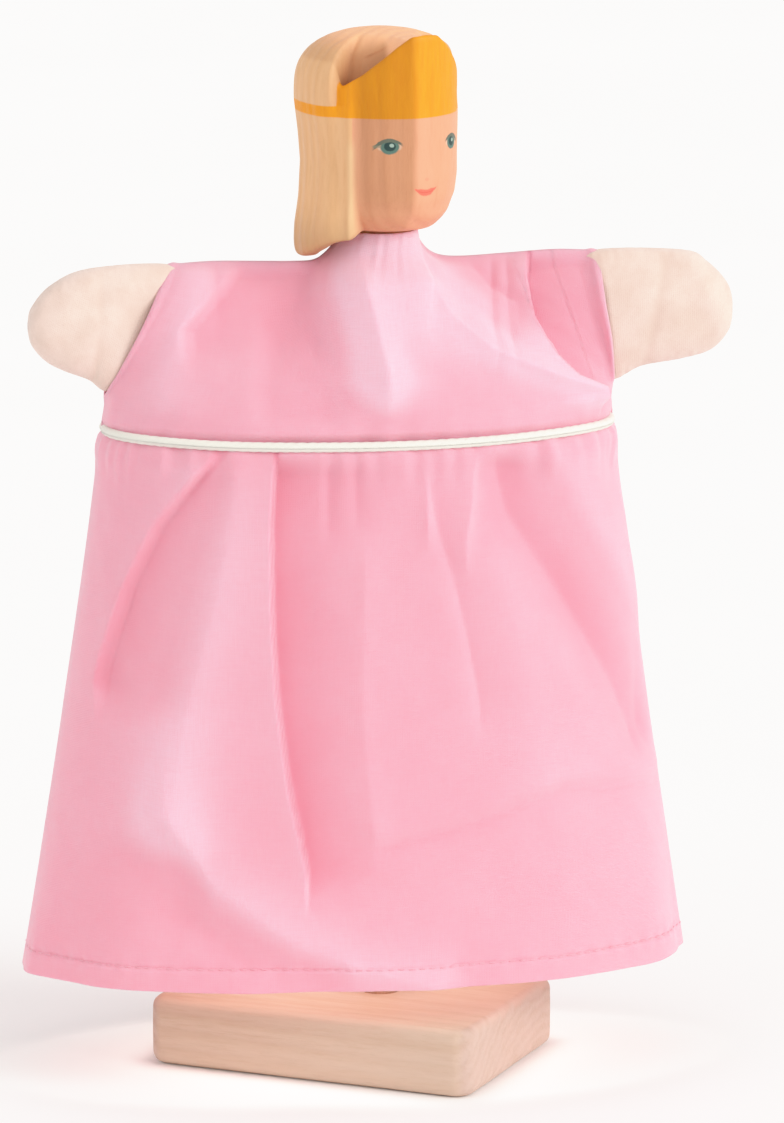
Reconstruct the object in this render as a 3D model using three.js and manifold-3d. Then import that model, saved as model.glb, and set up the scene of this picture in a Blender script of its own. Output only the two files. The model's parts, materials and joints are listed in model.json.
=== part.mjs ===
// A glove puppet on its display stand: a carved wooden princess head over a pink cotton dress with
// two cream mitten hands, resting on an upright dowel that is set in a flat wooden block.
// Millimetres, +Z up. The origin is on the dowel's axis at the underside of the block.
// The dress faces -Y with its hands along X; the head and the block are turned from that at rest.

import * as THREE from "three";
import { mergeVertices } from "three/addons/utils/BufferGeometryUtils.js";
import Module from "manifold-3d";

const wasm = await Module();
wasm.setup();

// ---------------------------------------------------------------- driving dimensions
const BLOCK_LENGTH = 100;
const BLOCK_DEPTH = 68;
const BLOCK_HEIGHT = 20;
const BLOCK_ROUND = 2.6; // edge rounding
const BLOCK_TURN = THREE.MathUtils.degToRad(-30.5); // the block's turn about the dowel
const BLOCK_SHIFT = 8.7; // the block's centre from the dowel, back along its length

const PEG_RADIUS = 5;
const SOCKET_RADIUS = 5.3;
const SOCKET_FLOOR = 6; // height of the socket's floor
const PEG_TOP = 272.6;

const HEAD_TURN = THREE.MathUtils.degToRad(26);
const BORE_RADIUS = 8; // finger hole in the neck and head
const BORE_TOP = 273;
const NECK_RADIUS = 9.9;
const NECK_BOTTOM = 228.5;
const CHIN_Z = 243.5;
const GROOVE_RADIUS = 9.1;
const GROOVE_LOW = 235;
const GROOVE_HIGH = 239.2;
const FACE_RADIUS = 20;
const FACE_FORWARD = 3.5; // the face's axis from the bore's axis
const HEAD_TOP = 299.2;
const HAIR_LOW = 235;
const HAIR_INNER = 18;
const CROWN_LOW = 276.3;
const CROWN_HIGH = 299.6;
const CROWN_FLAT = 4.2; // half width of the crown's level top
const CROWN_SLOPE = THREE.MathUtils.degToRad(44);

const TIE_RADIUS = 10.1; // centreline of the cord drawn round the neck
const TIE_HALF = 0.8;

const CLOTH = 1.3; // thickness of one worked layer of cloth with its seams
const SEAM_GAP = 0.15; // half of the gap between a front and a back panel
const WAIST_Z = 186.5;
const WAIST = { x: -6.3, a: 72.2, b: 32 };
const HEM_Z = 31;
const HEM = { x: -7.4, a: 94.7, b: 41 };
const WAIST_GAP = 1.6; // from the waist cord's middle to either edge of cloth
const HEM_BAND = 7;
const WAIST_CORD_HALF = 1.2;
const COLLAR_RADIUS = 11.2;
const COLLAR_TOP = 241.6;
const SHOULDER_Z = 232.6;
const YOKE_Z = 218; // the chest and back stop bowing out here and turn in towards the collar
const CUFF_BACK = 5.4; // the cuff ends this far inside the hand's seam

// Each hand: the two ends of its seam, then points along its top and bottom outlines to the tip.
const HANDS = {
  left: {
    top: [[-60.3, 233.2], [-82.3, 232.4], [-93, 228], [-98.6, 221.8], [-99.8, 217.5]],
    bottom: [[-78, 197.5], [-83, 200.8], [-90, 203.6], [-95, 206.4], [-98.8, 210.8], [-99.8, 214.5]],
  },
  right: {
    top: [[62.2, 234.6], [87, 234], [94, 230.6], [99.6, 224.6], [101, 219.5]],
    bottom: [[66.6, 197.2], [74.9, 200.9], [86.5, 202.8], [95, 205.2], [99.8, 210.4], [101, 215.5]],
  },
};

// ---------------------------------------------------------------- colours
const WOOD = 0xddb59e;
const HEAD_WOOD = 0xe0ae86;
const PINK = 0xf7b5c5;
const CREAM = 0xf5e0d0;
const CORD = 0xf7f6e9;

function cloth(color) {
  return new THREE.MeshStandardMaterial({ color, roughness: 0.95, metalness: 0, side: THREE.DoubleSide });
}

function wood(color) {
  return new THREE.MeshStandardMaterial({ color, roughness: 0.55, metalness: 0 });
}

// ---------------------------------------------------------------- helpers
// Positions only, with shared vertices merged.
function bare(geometry) {
  const g = geometry.index ? geometry.toNonIndexed() : geometry.clone();
  for (const name of Object.keys(g.attributes)) {
    if (name !== "position") g.deleteAttribute(name);
  }
  return mergeVertices(g, 1e-3);
}

function toSolid(geometry) {
  const g = bare(geometry);
  return new wasm.Manifold(
    new wasm.Mesh({
      numProp: 3,
      vertProperties: new Float32Array(g.attributes.position.array),
      triVerts: new Uint32Array(g.index.array),
    }),
  );
}

function toGeometry(solid) {
  const m = solid.getMesh();
  const g = new THREE.BufferGeometry();
  g.setAttribute("position", new THREE.BufferAttribute(new Float32Array(m.vertProperties), 3));
  g.setIndex(new THREE.BufferAttribute(new Uint32Array(m.triVerts), 1));
  g.computeVertexNormals();
  return g;
}

function signedVolume(g) {
  const a = new THREE.Vector3();
  const b = new THREE.Vector3();
  const c = new THREE.Vector3();
  let sum = 0;
  for (let i = 0; i < g.index.count; i += 3) {
    a.fromBufferAttribute(g.attributes.position, g.index.getX(i));
    b.fromBufferAttribute(g.attributes.position, g.index.getX(i + 1));
    c.fromBufferAttribute(g.attributes.position, g.index.getX(i + 2));
    sum += a.dot(b.cross(c));
  }
  return sum / 6;
}

// Turns every face round where the faces point inwards.
function facingOut(geometry) {
  const g = bare(geometry);
  if (signedVolume(g) < 0) {
    const index = g.index.array;
    for (let i = 0; i < index.length; i += 3) {
      [index[i + 1], index[i + 2]] = [index[i + 2], index[i + 1]];
    }
  }
  g.computeVertexNormals();
  return g;
}

// A thin panel: a box whose sheet is bent to surface(u, v), a point on the cloth's inner face, and
// thickened outwards along the surface's own normal. It stays on its own side of the seam plane.
function panel(surface, side, stepsU, stepsV, thickness, outward) {
  const g = bare(new THREE.BoxGeometry(1, 1, 1, stepsU, stepsV, 1));
  const p = g.attributes.position;
  const step = 1e-3;
  for (let i = 0; i < p.count; i += 1) {
    const u = p.getX(i) + 0.5;
    const v = p.getY(i) + 0.5;
    const at = surface(u, v);
    const du = surface(Math.min(u + step, 1), v).sub(surface(Math.max(u - step, 0), v));
    const dv = surface(u, Math.min(v + step, 1)).sub(surface(u, Math.max(v - step, 0)));
    const normal = du.cross(dv).normalize();
    if (normal.dot(outward(at)) < 0) normal.negate();
    at.addScaledVector(normal, (p.getZ(i) + 0.5) * thickness(u, v));
    at.y = side * Math.max(side * at.y, SEAM_GAP);
    p.setXYZ(i, at.x, at.y, at.z);
  }
  return facingOut(g);
}

function lathe(points, segments) {
  const g = new THREE.LatheGeometry(points.map(([r, z]) => new THREE.Vector2(r, z)), segments);
  g.rotateX(Math.PI / 2); // the lathe's own axis is Y
  return facingOut(g);
}

function cylinder(radius, low, high, segments) {
  const g = new THREE.CylinderGeometry(radius, radius, high - low, segments);
  g.rotateX(Math.PI / 2);
  g.translate(0, 0, (low + high) / 2);
  return g;
}

function box(low, high) {
  const g = new THREE.BoxGeometry(high[0] - low[0], high[1] - low[1], high[2] - low[2]);
  g.translate((low[0] + high[0]) / 2, (low[1] + high[1]) / 2, (low[2] + high[2]) / 2);
  return g;
}

function named(name, geometry, material) {
  const mesh = new THREE.Mesh(geometry, material);
  mesh.name = name;
  return mesh;
}

// ---------------------------------------------------------------- stand
function roundedRectangle(length, depth, radius) {
  const x = length / 2;
  const y = depth / 2;
  const s = new THREE.Shape();
  s.moveTo(-x + radius, -y);
  s.lineTo(x - radius, -y);
  s.absarc(x - radius, -y + radius, radius, -Math.PI / 2, 0);
  s.lineTo(x, y - radius);
  s.absarc(x - radius, y - radius, radius, 0, Math.PI / 2);
  s.lineTo(-x + radius, y);
  s.absarc(-x + radius, y - radius, radius, Math.PI / 2, Math.PI);
  s.lineTo(-x, -y + radius);
  s.absarc(-x + radius, -y + radius, radius, Math.PI, 1.5 * Math.PI);
  return s;
}

// The block, rounded on every edge, with the blind socket that the dowel turns in.
function standBase() {
  const inner = roundedRectangle(BLOCK_LENGTH - 2 * BLOCK_ROUND, BLOCK_DEPTH - 2 * BLOCK_ROUND, 1.6);
  const g = new THREE.ExtrudeGeometry(inner, {
    depth: BLOCK_HEIGHT - 2 * BLOCK_ROUND,
    bevelEnabled: true,
    bevelSize: BLOCK_ROUND,
    bevelThickness: BLOCK_ROUND,
    bevelSegments: 4,
    curveSegments: 4,
  });
  g.translate(-BLOCK_SHIFT, 0, BLOCK_ROUND);
  g.rotateZ(BLOCK_TURN);
  const socket = cylinder(SOCKET_RADIUS, SOCKET_FLOOR, BLOCK_HEIGHT + 5, 40);
  return toGeometry(toSolid(g).subtract(toSolid(socket)));
}

// The dowel, with a domed top that the head's bore comes down on.
function standPeg() {
  const low = SOCKET_FLOOR + 0.3;
  return lathe(
    [
      [0, low],
      [PEG_RADIUS - 0.6, low],
      [PEG_RADIUS, low + 0.6],
      [PEG_RADIUS, PEG_TOP - 3.2],
      [4.3, PEG_TOP - 1.7],
      [3, PEG_TOP - 0.6],
      [1.5, PEG_TOP - 0.1],
      [0, PEG_TOP],
    ],
    40,
  );
}

// ---------------------------------------------------------------- head
// The face is a plain turned drum with a softened chin and a low dome on top.
function faceDrum() {
  const g = lathe(
    [
      [0, CHIN_Z],
      [12, CHIN_Z],
      [14.8, CHIN_Z + 2.3],
      [17, CHIN_Z + 4.6],
      [19.1, CHIN_Z + 9.3],
      [FACE_RADIUS, CHIN_Z + 14.5],
      [FACE_RADIUS, HEAD_TOP - 15],
      [18.6, HEAD_TOP - 11.2],
      [15.6, HEAD_TOP - 6.7],
      [11, HEAD_TOP - 3],
      [5.5, HEAD_TOP - 0.9],
      [0, HEAD_TOP - 0.3],
    ],
    40,
  );
  g.translate(0, -FACE_FORWARD, 0);
  return toSolid(g);
}

// The hair stands proud of the face round the sides and back and hangs lower behind the neck.
function hair() {
  const outer = lathe(
    [
      [0, HAIR_LOW],
      [23.2, HAIR_LOW],
      [24.2, HAIR_LOW + 1.5],
      [24.1, HAIR_LOW + 8],
      [23, HAIR_LOW + 15],
      [22.3, HAIR_LOW + 22],
      [22.3, HAIR_LOW + 31],
      [23.5, HAIR_LOW + 37],
      [23.9, HAIR_LOW + 42],
      [23.9, HAIR_LOW + 52],
      [22.8, HAIR_LOW + 54.6],
      [20, HEAD_TOP - 5.8],
      [13, HEAD_TOP - 1.6],
      [6, HEAD_TOP - 0.2],
      [0, HEAD_TOP],
    ],
    40,
  );
  const front = box([-40, -60, HAIR_LOW - 5], [40, -6.6, CROWN_LOW + 2]);
  const cavity = cylinder(HAIR_INNER, HAIR_LOW - 5, CHIN_Z, 40);
  const slope = box([-40, -60, -30], [40, 0, 0]);
  slope.rotateX(-Math.atan(0.51)); // the lower edge rises from the back towards the cheeks
  slope.translate(0, 9.2, HAIR_LOW);
  const trimmed = box([9, -60, HAIR_LOW - 5], [40, 11, 243.6]); // cut shorter on one side
  return toSolid(outer)
    .subtract(toSolid(front))
    .subtract(toSolid(cavity))
    .subtract(toSolid(slope))
    .subtract(toSolid(trimmed));
}

// The tall front of the crown: the face's own wall carried up past the dome of the head, cut to a
// low gable. The rest of the crown is a painted band without relief.
function crown() {
  const plate = lathe(
    [
      [16.8, CROWN_LOW],
      [FACE_RADIUS + 0.1, CROWN_LOW],
      [FACE_RADIUS + 0.1, CROWN_HIGH],
      [17.6, CROWN_HIGH],
      [16.8, CROWN_LOW],
    ],
    40,
  );
  plate.translate(0, -FACE_FORWARD, 0);
  let front = toSolid(plate).subtract(toSolid(box([-40, -7, 200], [40, 60, 400])));
  for (const side of [-1, 1]) {
    const cut = box([-60, -60, 0], [60, 60, 60]);
    cut.rotateY(side * CROWN_SLOPE);
    cut.translate(side * CROWN_FLAT, 0, CROWN_HIGH);
    front = front.subtract(toSolid(cut));
  }
  return front;
}

function neck() {
  return toSolid(
    lathe(
      [
        [0, NECK_BOTTOM],
        [NECK_RADIUS - 0.8, NECK_BOTTOM],
        [NECK_RADIUS, NECK_BOTTOM + 0.8],
        [NECK_RADIUS, GROOVE_LOW - 0.5],
        [GROOVE_RADIUS, GROOVE_LOW],
        [GROOVE_RADIUS, GROOVE_HIGH],
        [NECK_RADIUS, GROOVE_HIGH + 0.5],
        [NECK_RADIUS, CHIN_Z + 2],
        [0, CHIN_Z + 2],
      ],
      40,
    ),
  );
}

function head() {
  const bore = toSolid(cylinder(BORE_RADIUS, NECK_BOTTOM - 5, BORE_TOP, 40));
  const solid = faceDrum().add(hair()).add(crown()).add(neck()).subtract(bore);
  const g = toGeometry(solid);
  g.rotateZ(HEAD_TURN);
  return facingOut(g);
}

function neckTie() {
  const round = [];
  for (let i = 0; i <= 8; i += 1) {
    const t = (-2 * Math.PI * i) / 8;
    round.push([TIE_RADIUS + TIE_HALF * Math.cos(t), (GROOVE_LOW + GROOVE_HIGH) / 2 + TIE_HALF * Math.sin(t)]);
  }
  return lathe(round, 36);
}

// ---------------------------------------------------------------- dress
function ellipsePoint(e, z, angle, side) {
  return new THREE.Vector3(e.x + e.a * Math.cos(angle), side * (SEAM_GAP + e.b * Math.sin(angle)), z);
}

// A point on the skirt's inner face: u runs from the left side seam to the right one, v up.
function skirtSurface(side) {
  return (u, v) => {
    const z = HEM_Z + v * (WAIST_Z - WAIST_GAP - HEM_Z);
    const s = Math.pow(1 - v, 1.12);
    const e = {
      x: THREE.MathUtils.lerp(WAIST.x, HEM.x, s),
      a: THREE.MathUtils.lerp(WAIST.a, HEM.a, s),
      b: THREE.MathUtils.lerp(WAIST.b, HEM.b, s),
    };
    return ellipsePoint(e, z, Math.PI * (1 - u), side);
  };
}

// The turned-up hem makes the lowest band thicker.
function skirtThickness(u, v) {
  return v * (WAIST_Z - WAIST_GAP - HEM_Z) < HEM_BAND + 1 ? CLOTH + 0.7 : CLOTH;
}

function skirt(side) {
  return panel(skirtSurface(side), side, 26, 11, skirtThickness, (at) => new THREE.Vector3(at.x - WAIST.x, at.y * 4, 0));
}

// The line along the top of the front or back panel: shoulder, half of the collar, shoulder.
function shoulderCurve(side) {
  const points = [];
  const reach = [-HANDS.left.top[0][0] - CUFF_BACK, HANDS.right.top[0][0] - CUFF_BACK];
  const shoulder = [
    [1, SHOULDER_Z],
    [0.72, SHOULDER_Z - 0.3],
    [0.46, SHOULDER_Z - 0.9],
  ];
  for (const [share, z] of shoulder) points.push([-reach[0] * share, SEAM_GAP, z]);
  points.push([-17.6, SEAM_GAP, 232.6], [-12.8, SEAM_GAP, 237], [-COLLAR_RADIUS, SEAM_GAP, COLLAR_TOP]);
  for (let i = 1; i < 8; i += 1) {
    const t = Math.PI * (1 - i / 8);
    points.push([COLLAR_RADIUS * Math.cos(t), SEAM_GAP + COLLAR_RADIUS * Math.sin(t), COLLAR_TOP]);
  }
  points.push([COLLAR_RADIUS, SEAM_GAP, COLLAR_TOP], [12.8, SEAM_GAP, 237], [17.6, SEAM_GAP, 232.6]);
  for (const [share, z] of shoulder.reverse()) points.push([reach[1] * share, SEAM_GAP, z]);
  return new THREE.CatmullRomCurve3(
    points.map(([x, y, z]) => new THREE.Vector3(x, side * y, z)),
    false,
    "centripetal",
  );
}

// A point on the bodice's inner face. It rises from the waist's half ellipse to the shoulder line,
// and at its two ends, where the cuffs are, it bows out only enough to take a hand.
function bodiceSurface(side) {
  const top = shoulderCurve(side);
  return (u, v) => {
    const low = ellipsePoint(WAIST, WAIST_Z + WAIST_GAP, Math.PI * (1 - u), side);
    const high = top.getPoint(u);
    const edge = Math.pow(Math.abs(2 * u - 1), 3);
    const deep = Math.abs(low.y);
    const first = new THREE.Vector3(
      THREE.MathUtils.lerp(low.x, high.x, 0.2),
      side * THREE.MathUtils.lerp(deep + 1, 2, edge),
      THREE.MathUtils.lerp(low.z, high.z, 0.33),
    );
    const second = new THREE.Vector3(
      THREE.MathUtils.lerp(low.x, high.x, THREE.MathUtils.lerp(0.97, 0.72, edge)),
      side * THREE.MathUtils.lerp(13, 17, edge),
      Math.min(THREE.MathUtils.lerp(low.z, high.z, THREE.MathUtils.lerp(0.86, 0.72, edge)), YOKE_Z),
    );
    return new THREE.CubicBezierCurve3(low, first, second, high).getPoint(v);
  };
}

function bodice(side) {
  return panel(bodiceSurface(side), side, 44, 10, () => CLOTH, (at) => new THREE.Vector3(0, at.y * 2, at.z - 213));
}

// A ring of round cord. It is turned on a unit circle and each point is then moved out to the
// waist's ellipse.
function waistCord() {
  const round = [];
  for (let i = 0; i <= 8; i += 1) {
    const t = (-2 * Math.PI * i) / 8;
    round.push([10 + WAIST_CORD_HALF * Math.cos(t), WAIST_Z + WAIST_CORD_HALF * Math.sin(t)]);
  }
  const g = lathe(round, 56);
  const p = g.attributes.position;
  for (let i = 0; i < p.count; i += 1) {
    const t = Math.atan2(p.getY(i), p.getX(i));
    const out = Math.hypot(p.getX(i), p.getY(i)) - 10 + CLOTH + 0.5;
    p.setX(i, WAIST.x + (WAIST.a + out) * Math.cos(t));
    p.setY(i, (WAIST.b + out) * Math.sin(t));
  }
  g.computeVertexNormals();
  return g;
}

// ---------------------------------------------------------------- hands
function outline(points) {
  return new THREE.CatmullRomCurve3(points.map(([x, z]) => new THREE.Vector3(x, 0, z)), false, "centripetal");
}

// A point on a hand panel's inner face: u runs from the seam to the tip, v from bottom to top.
function handSurface(shape, side) {
  const top = outline(shape.top);
  const bottom = outline(shape.bottom);
  return (u, v) => {
    const at = bottom.getPointAt(u).lerp(top.getPointAt(u), v);
    const across = Math.sqrt(Math.max(0, 1 - Math.pow(2 * v - 1, 2)));
    const along = 4.8 + 2.6 * Math.sin(Math.min(1, u * 1.6) * Math.PI * 0.5);
    const fade = Math.sqrt(Math.max(0, 1 - Math.pow(Math.max(0, (u - 0.45) / 0.55), 2.4)));
    at.y = side * (SEAM_GAP + along * across * fade);
    return at;
  };
}

function hand(shape, side) {
  return panel(handSurface(shape, side), side, 12, 8, () => CLOTH, () => new THREE.Vector3(0, side, 0));
}

// ---------------------------------------------------------------- assembly
const puppet = new THREE.Group();
const FRONT = -1;
const BACK = 1;

puppet.add(named("stand_base", standBase(), wood(WOOD)));
puppet.add(named("stand_peg", standPeg(), wood(WOOD)));
puppet.add(named("head", head(), wood(HEAD_WOOD)));
puppet.add(named("neck_tie", neckTie(), cloth(CORD)));
puppet.add(named("bodice_front", bodice(FRONT), cloth(PINK)));
puppet.add(named("bodice_back", bodice(BACK), cloth(PINK)));
puppet.add(named("waist_cord", waistCord(), cloth(CORD)));
puppet.add(named("skirt_front", skirt(FRONT), cloth(PINK)));
puppet.add(named("skirt_back", skirt(BACK), cloth(PINK)));
for (const [name, shape] of Object.entries(HANDS)) {
  puppet.add(named("hand_" + name + "_front", hand(shape, FRONT), cloth(CREAM)));
  puppet.add(named("hand_" + name + "_back", hand(shape, BACK), cloth(CREAM)));
}

export default puppet;
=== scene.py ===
"""A glove puppet on its stand: the looks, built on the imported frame.

Lengths in the shape code are in millimetres of the shared frame and become metres in `build`.
Left and right are the viewer's. The puppet's front faces -Y.
"""

import json
import math

import bmesh
import bpy
import numpy as np
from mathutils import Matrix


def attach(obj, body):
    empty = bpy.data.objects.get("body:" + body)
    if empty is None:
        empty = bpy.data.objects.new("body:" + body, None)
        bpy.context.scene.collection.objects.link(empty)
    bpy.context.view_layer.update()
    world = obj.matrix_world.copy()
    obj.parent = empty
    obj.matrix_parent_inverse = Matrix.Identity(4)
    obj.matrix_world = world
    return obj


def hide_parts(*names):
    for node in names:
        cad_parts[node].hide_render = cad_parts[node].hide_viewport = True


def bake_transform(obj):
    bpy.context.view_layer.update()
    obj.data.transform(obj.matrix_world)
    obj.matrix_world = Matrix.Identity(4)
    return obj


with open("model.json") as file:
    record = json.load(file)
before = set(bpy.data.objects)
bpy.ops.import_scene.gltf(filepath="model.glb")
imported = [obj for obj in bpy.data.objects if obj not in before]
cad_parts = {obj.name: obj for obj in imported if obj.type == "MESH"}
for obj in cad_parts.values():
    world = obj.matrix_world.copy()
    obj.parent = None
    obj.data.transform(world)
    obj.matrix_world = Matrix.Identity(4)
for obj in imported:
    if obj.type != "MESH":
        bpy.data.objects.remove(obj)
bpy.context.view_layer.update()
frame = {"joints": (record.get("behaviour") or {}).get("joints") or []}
MM = 0.001

# ---------------------------------------------------------------- camera, light, floor
CAMERA_AZIMUTH = math.radians(-8.0)
CAMERA_DISTANCE = 1.900  # across the ground, from the dowel
CAMERA_HEIGHT = 0.545
AIM_HEIGHT = 0.146
AIM_RIGHT = 0.00342
LENS = 218.3


def add_camera():
    pitch = math.atan((CAMERA_HEIGHT - AIM_HEIGHT) / CAMERA_DISTANCE)
    right = np.array([math.cos(CAMERA_AZIMUTH), math.sin(CAMERA_AZIMUTH), 0])
    ahead = np.array([-math.sin(CAMERA_AZIMUTH), math.cos(CAMERA_AZIMUTH), 0])
    data = bpy.data.cameras.new("camera")
    data.sensor_width = 36
    data.lens = LENS
    data.clip_end = 30
    camera = bpy.data.objects.new("camera", data)
    place = AIM_RIGHT * right - CAMERA_DISTANCE * ahead + np.array([0, 0, CAMERA_HEIGHT])
    camera.location = place
    camera.rotation_euler = (math.pi / 2 - pitch, 0, CAMERA_AZIMUTH)
    bpy.context.collection.objects.link(camera)
    bpy.context.scene.camera = camera


WORLD_STRENGTH = 0.88
KEY_STRENGTH = 1.95
KEY_FROM = (0.86, -0.56, 0.42)
KEY_SOFTNESS = math.radians(30)
FILL_STRENGTH = 0.42
FILL_FROM = (-0.85, -0.45, 0.25)
GLOW_WATTS = 0.038
# scene light against shown light: straight up to 0.85, then a soft shoulder
SHOULDER = ((0.0, 0.0), (0.80, 0.80), (1.0, 0.935), (1.25, 0.99), (2.0, 1.0))


def add_light():
    world = bpy.data.worlds.new("studio")
    world.use_nodes = True
    world.node_tree.nodes["Background"].inputs["Color"].default_value = (1, 0.985, 0.97, 1)
    world.node_tree.nodes["Background"].inputs["Strength"].default_value = WORLD_STRENGTH
    bpy.context.scene.world = world
    key = bpy.data.lights.new("key", "SUN")
    key.energy = KEY_STRENGTH
    key.angle = KEY_SOFTNESS
    key.color = (1, 0.97, 0.94)
    lamp = bpy.data.objects.new("key", key)
    direction = np.array(KEY_FROM) / np.linalg.norm(KEY_FROM)
    lamp.rotation_euler = (math.acos(direction[2]), 0, math.atan2(direction[0], -direction[1]))
    bpy.context.collection.objects.link(lamp)
    fill = bpy.data.lights.new("fill", "SUN")
    fill.energy = FILL_STRENGTH
    fill.angle = math.radians(70)
    lamp = bpy.data.objects.new("fill", fill)
    direction = np.array(FILL_FROM) / np.linalg.norm(FILL_FROM)
    lamp.rotation_euler = (math.acos(direction[2]), 0, math.atan2(direction[0], -direction[1]))
    bpy.context.collection.objects.link(lamp)
    # what the thin skirt lets through: a little light falls on the block under it
    glow = bpy.data.lights.new("glow", "AREA")
    glow.energy = GLOW_WATTS
    glow.shape = "ELLIPSE"
    glow.size, glow.size_y = 0.13, 0.05
    glow.color = (1, 0.80, 0.74)
    glow.spread = math.radians(70)
    lamp = bpy.data.objects.new("glow", glow)
    lamp.location = (-0.007, 0, 0.110)
    lamp.visible_camera = False
    bpy.context.collection.objects.link(lamp)
    view = bpy.context.scene.view_settings
    view.view_transform = "Standard"
    view.look = "None"
    view.use_curve_mapping = True
    curves = view.curve_mapping
    curves.clip_max_x = SHOULDER[-1][0]
    line = curves.curves[3]
    line.points[0].location = SHOULDER[0]
    line.points[1].location = SHOULDER[-1]
    for at in SHOULDER[1:-1]:
        line.points.new(*at)
    curves.update()


add_camera()
add_light()


# ---------------------------------------------------------------- materials
class Val:
    """A number that varies over a surface, written with ordinary arithmetic in shader nodes."""

    def __init__(self, tree, socket):
        self.tree = tree
        self.socket = socket

    def op(self, kind, *others, first=None):
        node = self.tree.nodes.new("ShaderNodeMath")
        node.operation = kind
        for i, value in enumerate((self if first is None else first, *others)):
            if isinstance(value, Val):
                self.tree.links.new(value.socket, node.inputs[i])
            else:
                node.inputs[i].default_value = value
        return Val(self.tree, node.outputs[0])

    def __add__(self, other):
        return self.op("ADD", other)

    __radd__ = __add__

    def __sub__(self, other):
        return self.op("SUBTRACT", other)

    def __rsub__(self, other):
        return self.op("SUBTRACT", self, first=other)

    def __mul__(self, other):
        return self.op("MULTIPLY", other)

    __rmul__ = __mul__

    def __truediv__(self, other):
        return self.op("DIVIDE", other)

    def square(self):
        return self.op("MULTIPLY", self)

    def smooth(self, low, high, to=(0.0, 1.0)):
        """0 below low and 1 above high, with a smooth step between. low may be the larger."""
        node = self.tree.nodes.new("ShaderNodeMapRange")
        node.interpolation_type = "SMOOTHSTEP"
        if low > high:
            low, high, to = high, low, (to[1], to[0])
        self.tree.links.new(self.socket, node.inputs["Value"])
        for name, value in zip(("From Min", "From Max", "To Min", "To Max"), (low, high, *to)):
            node.inputs[name].default_value = value
        return Val(self.tree, node.outputs["Result"])


class Finish:
    """One procedural material under construction."""

    def __init__(self, name, **shader):
        self.material = bpy.data.materials.new(name)
        self.material.use_nodes = True
        self.tree = self.material.node_tree
        self.shader = self.tree.nodes["Principled BSDF"]
        for socket, value in shader.items():
            self.shader.inputs[socket.replace("_", " ")].default_value = value

    def node(self, kind, **inputs):
        made = self.tree.nodes.new(kind)
        for name, value in inputs.items():
            socket = made.inputs[name.replace("_", " ")]
            if isinstance(value, Val):
                self.tree.links.new(value.socket, socket)
            elif hasattr(value, "is_output"):
                self.tree.links.new(value, socket)
            else:
                socket.default_value = value
        return made

    def place(self):
        """Object coordinates in millimetres."""
        at = self.node("ShaderNodeTexCoord").outputs["Object"]
        scaled = self.node("ShaderNodeVectorMath", Vector=at)
        scaled.operation = "SCALE"
        scaled.inputs["Scale"].default_value = 1000.0
        return scaled.outputs[0]

    def uv(self, name):
        made = self.node("ShaderNodeUVMap")
        made.uv_map = name
        return made.outputs[0]

    def mapped(self, vector, scale=(1, 1, 1), turn=(0, 0, 0), shift=(0, 0, 0)):
        made = self.node("ShaderNodeMapping", Vector=vector)
        made.inputs["Scale"].default_value = scale
        made.inputs["Rotation"].default_value = turn
        made.inputs["Location"].default_value = shift
        return made.outputs[0]

    def parts(self, vector):
        made = self.node("ShaderNodeSeparateXYZ", Vector=vector)
        return [Val(self.tree, made.outputs[i]) for i in range(3)]

    def noise(self, vector, scale, detail=3.0, rough=0.5, distortion=0.0):
        made = self.node("ShaderNodeTexNoise", Vector=vector, Scale=scale, Detail=detail, Roughness=rough)
        made.inputs["Distortion"].default_value = distortion
        return Val(self.tree, made.outputs[0])

    def attribute(self, name):
        made = self.node("ShaderNodeAttribute")
        made.attribute_name = name
        return Val(self.tree, made.outputs["Fac"])

    def mix(self, amount, low, high, kind="MIX"):
        """A colour between two, each a socket or an (r, g, b)."""
        made = self.tree.nodes.new("ShaderNodeMix")
        made.data_type = "RGBA"
        made.blend_type = kind
        made.clamp_factor = True
        for index, value in ((0, amount), (6, low), (7, high)):
            if isinstance(value, Val):
                self.tree.links.new(value.socket, made.inputs[index])
            elif hasattr(value, "is_output"):
                self.tree.links.new(value, made.inputs[index])
            elif index == 0:
                made.inputs[0].default_value = value
            else:
                made.inputs[index].default_value = (*value, 1)
        return made.outputs[2]

    def colour(self, socket):
        self.tree.links.new(socket, self.shader.inputs["Base Color"])

    def rough(self, value):
        self.tree.links.new(value.socket, self.shader.inputs["Roughness"])

    def bump(self, *layers):
        """Each layer is (height in mm, a Val)."""
        last = None
        for height, value in layers:
            made = self.node("ShaderNodeBump", Height=value)
            made.inputs["Distance"].default_value = height * MM
            made.inputs["Strength"].default_value = 1.0
            if last is not None:
                self.tree.links.new(last, made.inputs["Normal"])
            last = made.outputs[0]
        self.tree.links.new(last, self.shader.inputs["Normal"])


def weave(finish, uv, pitch):
    """Plain weave: warp over weft in turn, with threads of uneven thickness."""
    wobble = finish.noise(finish.mapped(uv, (0.12, 0.12, 1)), 3.0, 2.0)
    x, y, _ = finish.parts(uv)
    x = x + wobble * (0.35 * pitch)
    y = y - wobble * (0.35 * pitch)
    turn = math.pi / pitch
    warp = (x * turn).op("SINE")
    weft = (y * turn).op("SINE")
    over = (warp * weft).smooth(-0.25, 0.25)
    ridge_a = warp.op("ABSOLUTE")
    ridge_b = weft.op("ABSOLUTE")
    return over * ridge_a + (1.0 - over) * ridge_b


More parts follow.
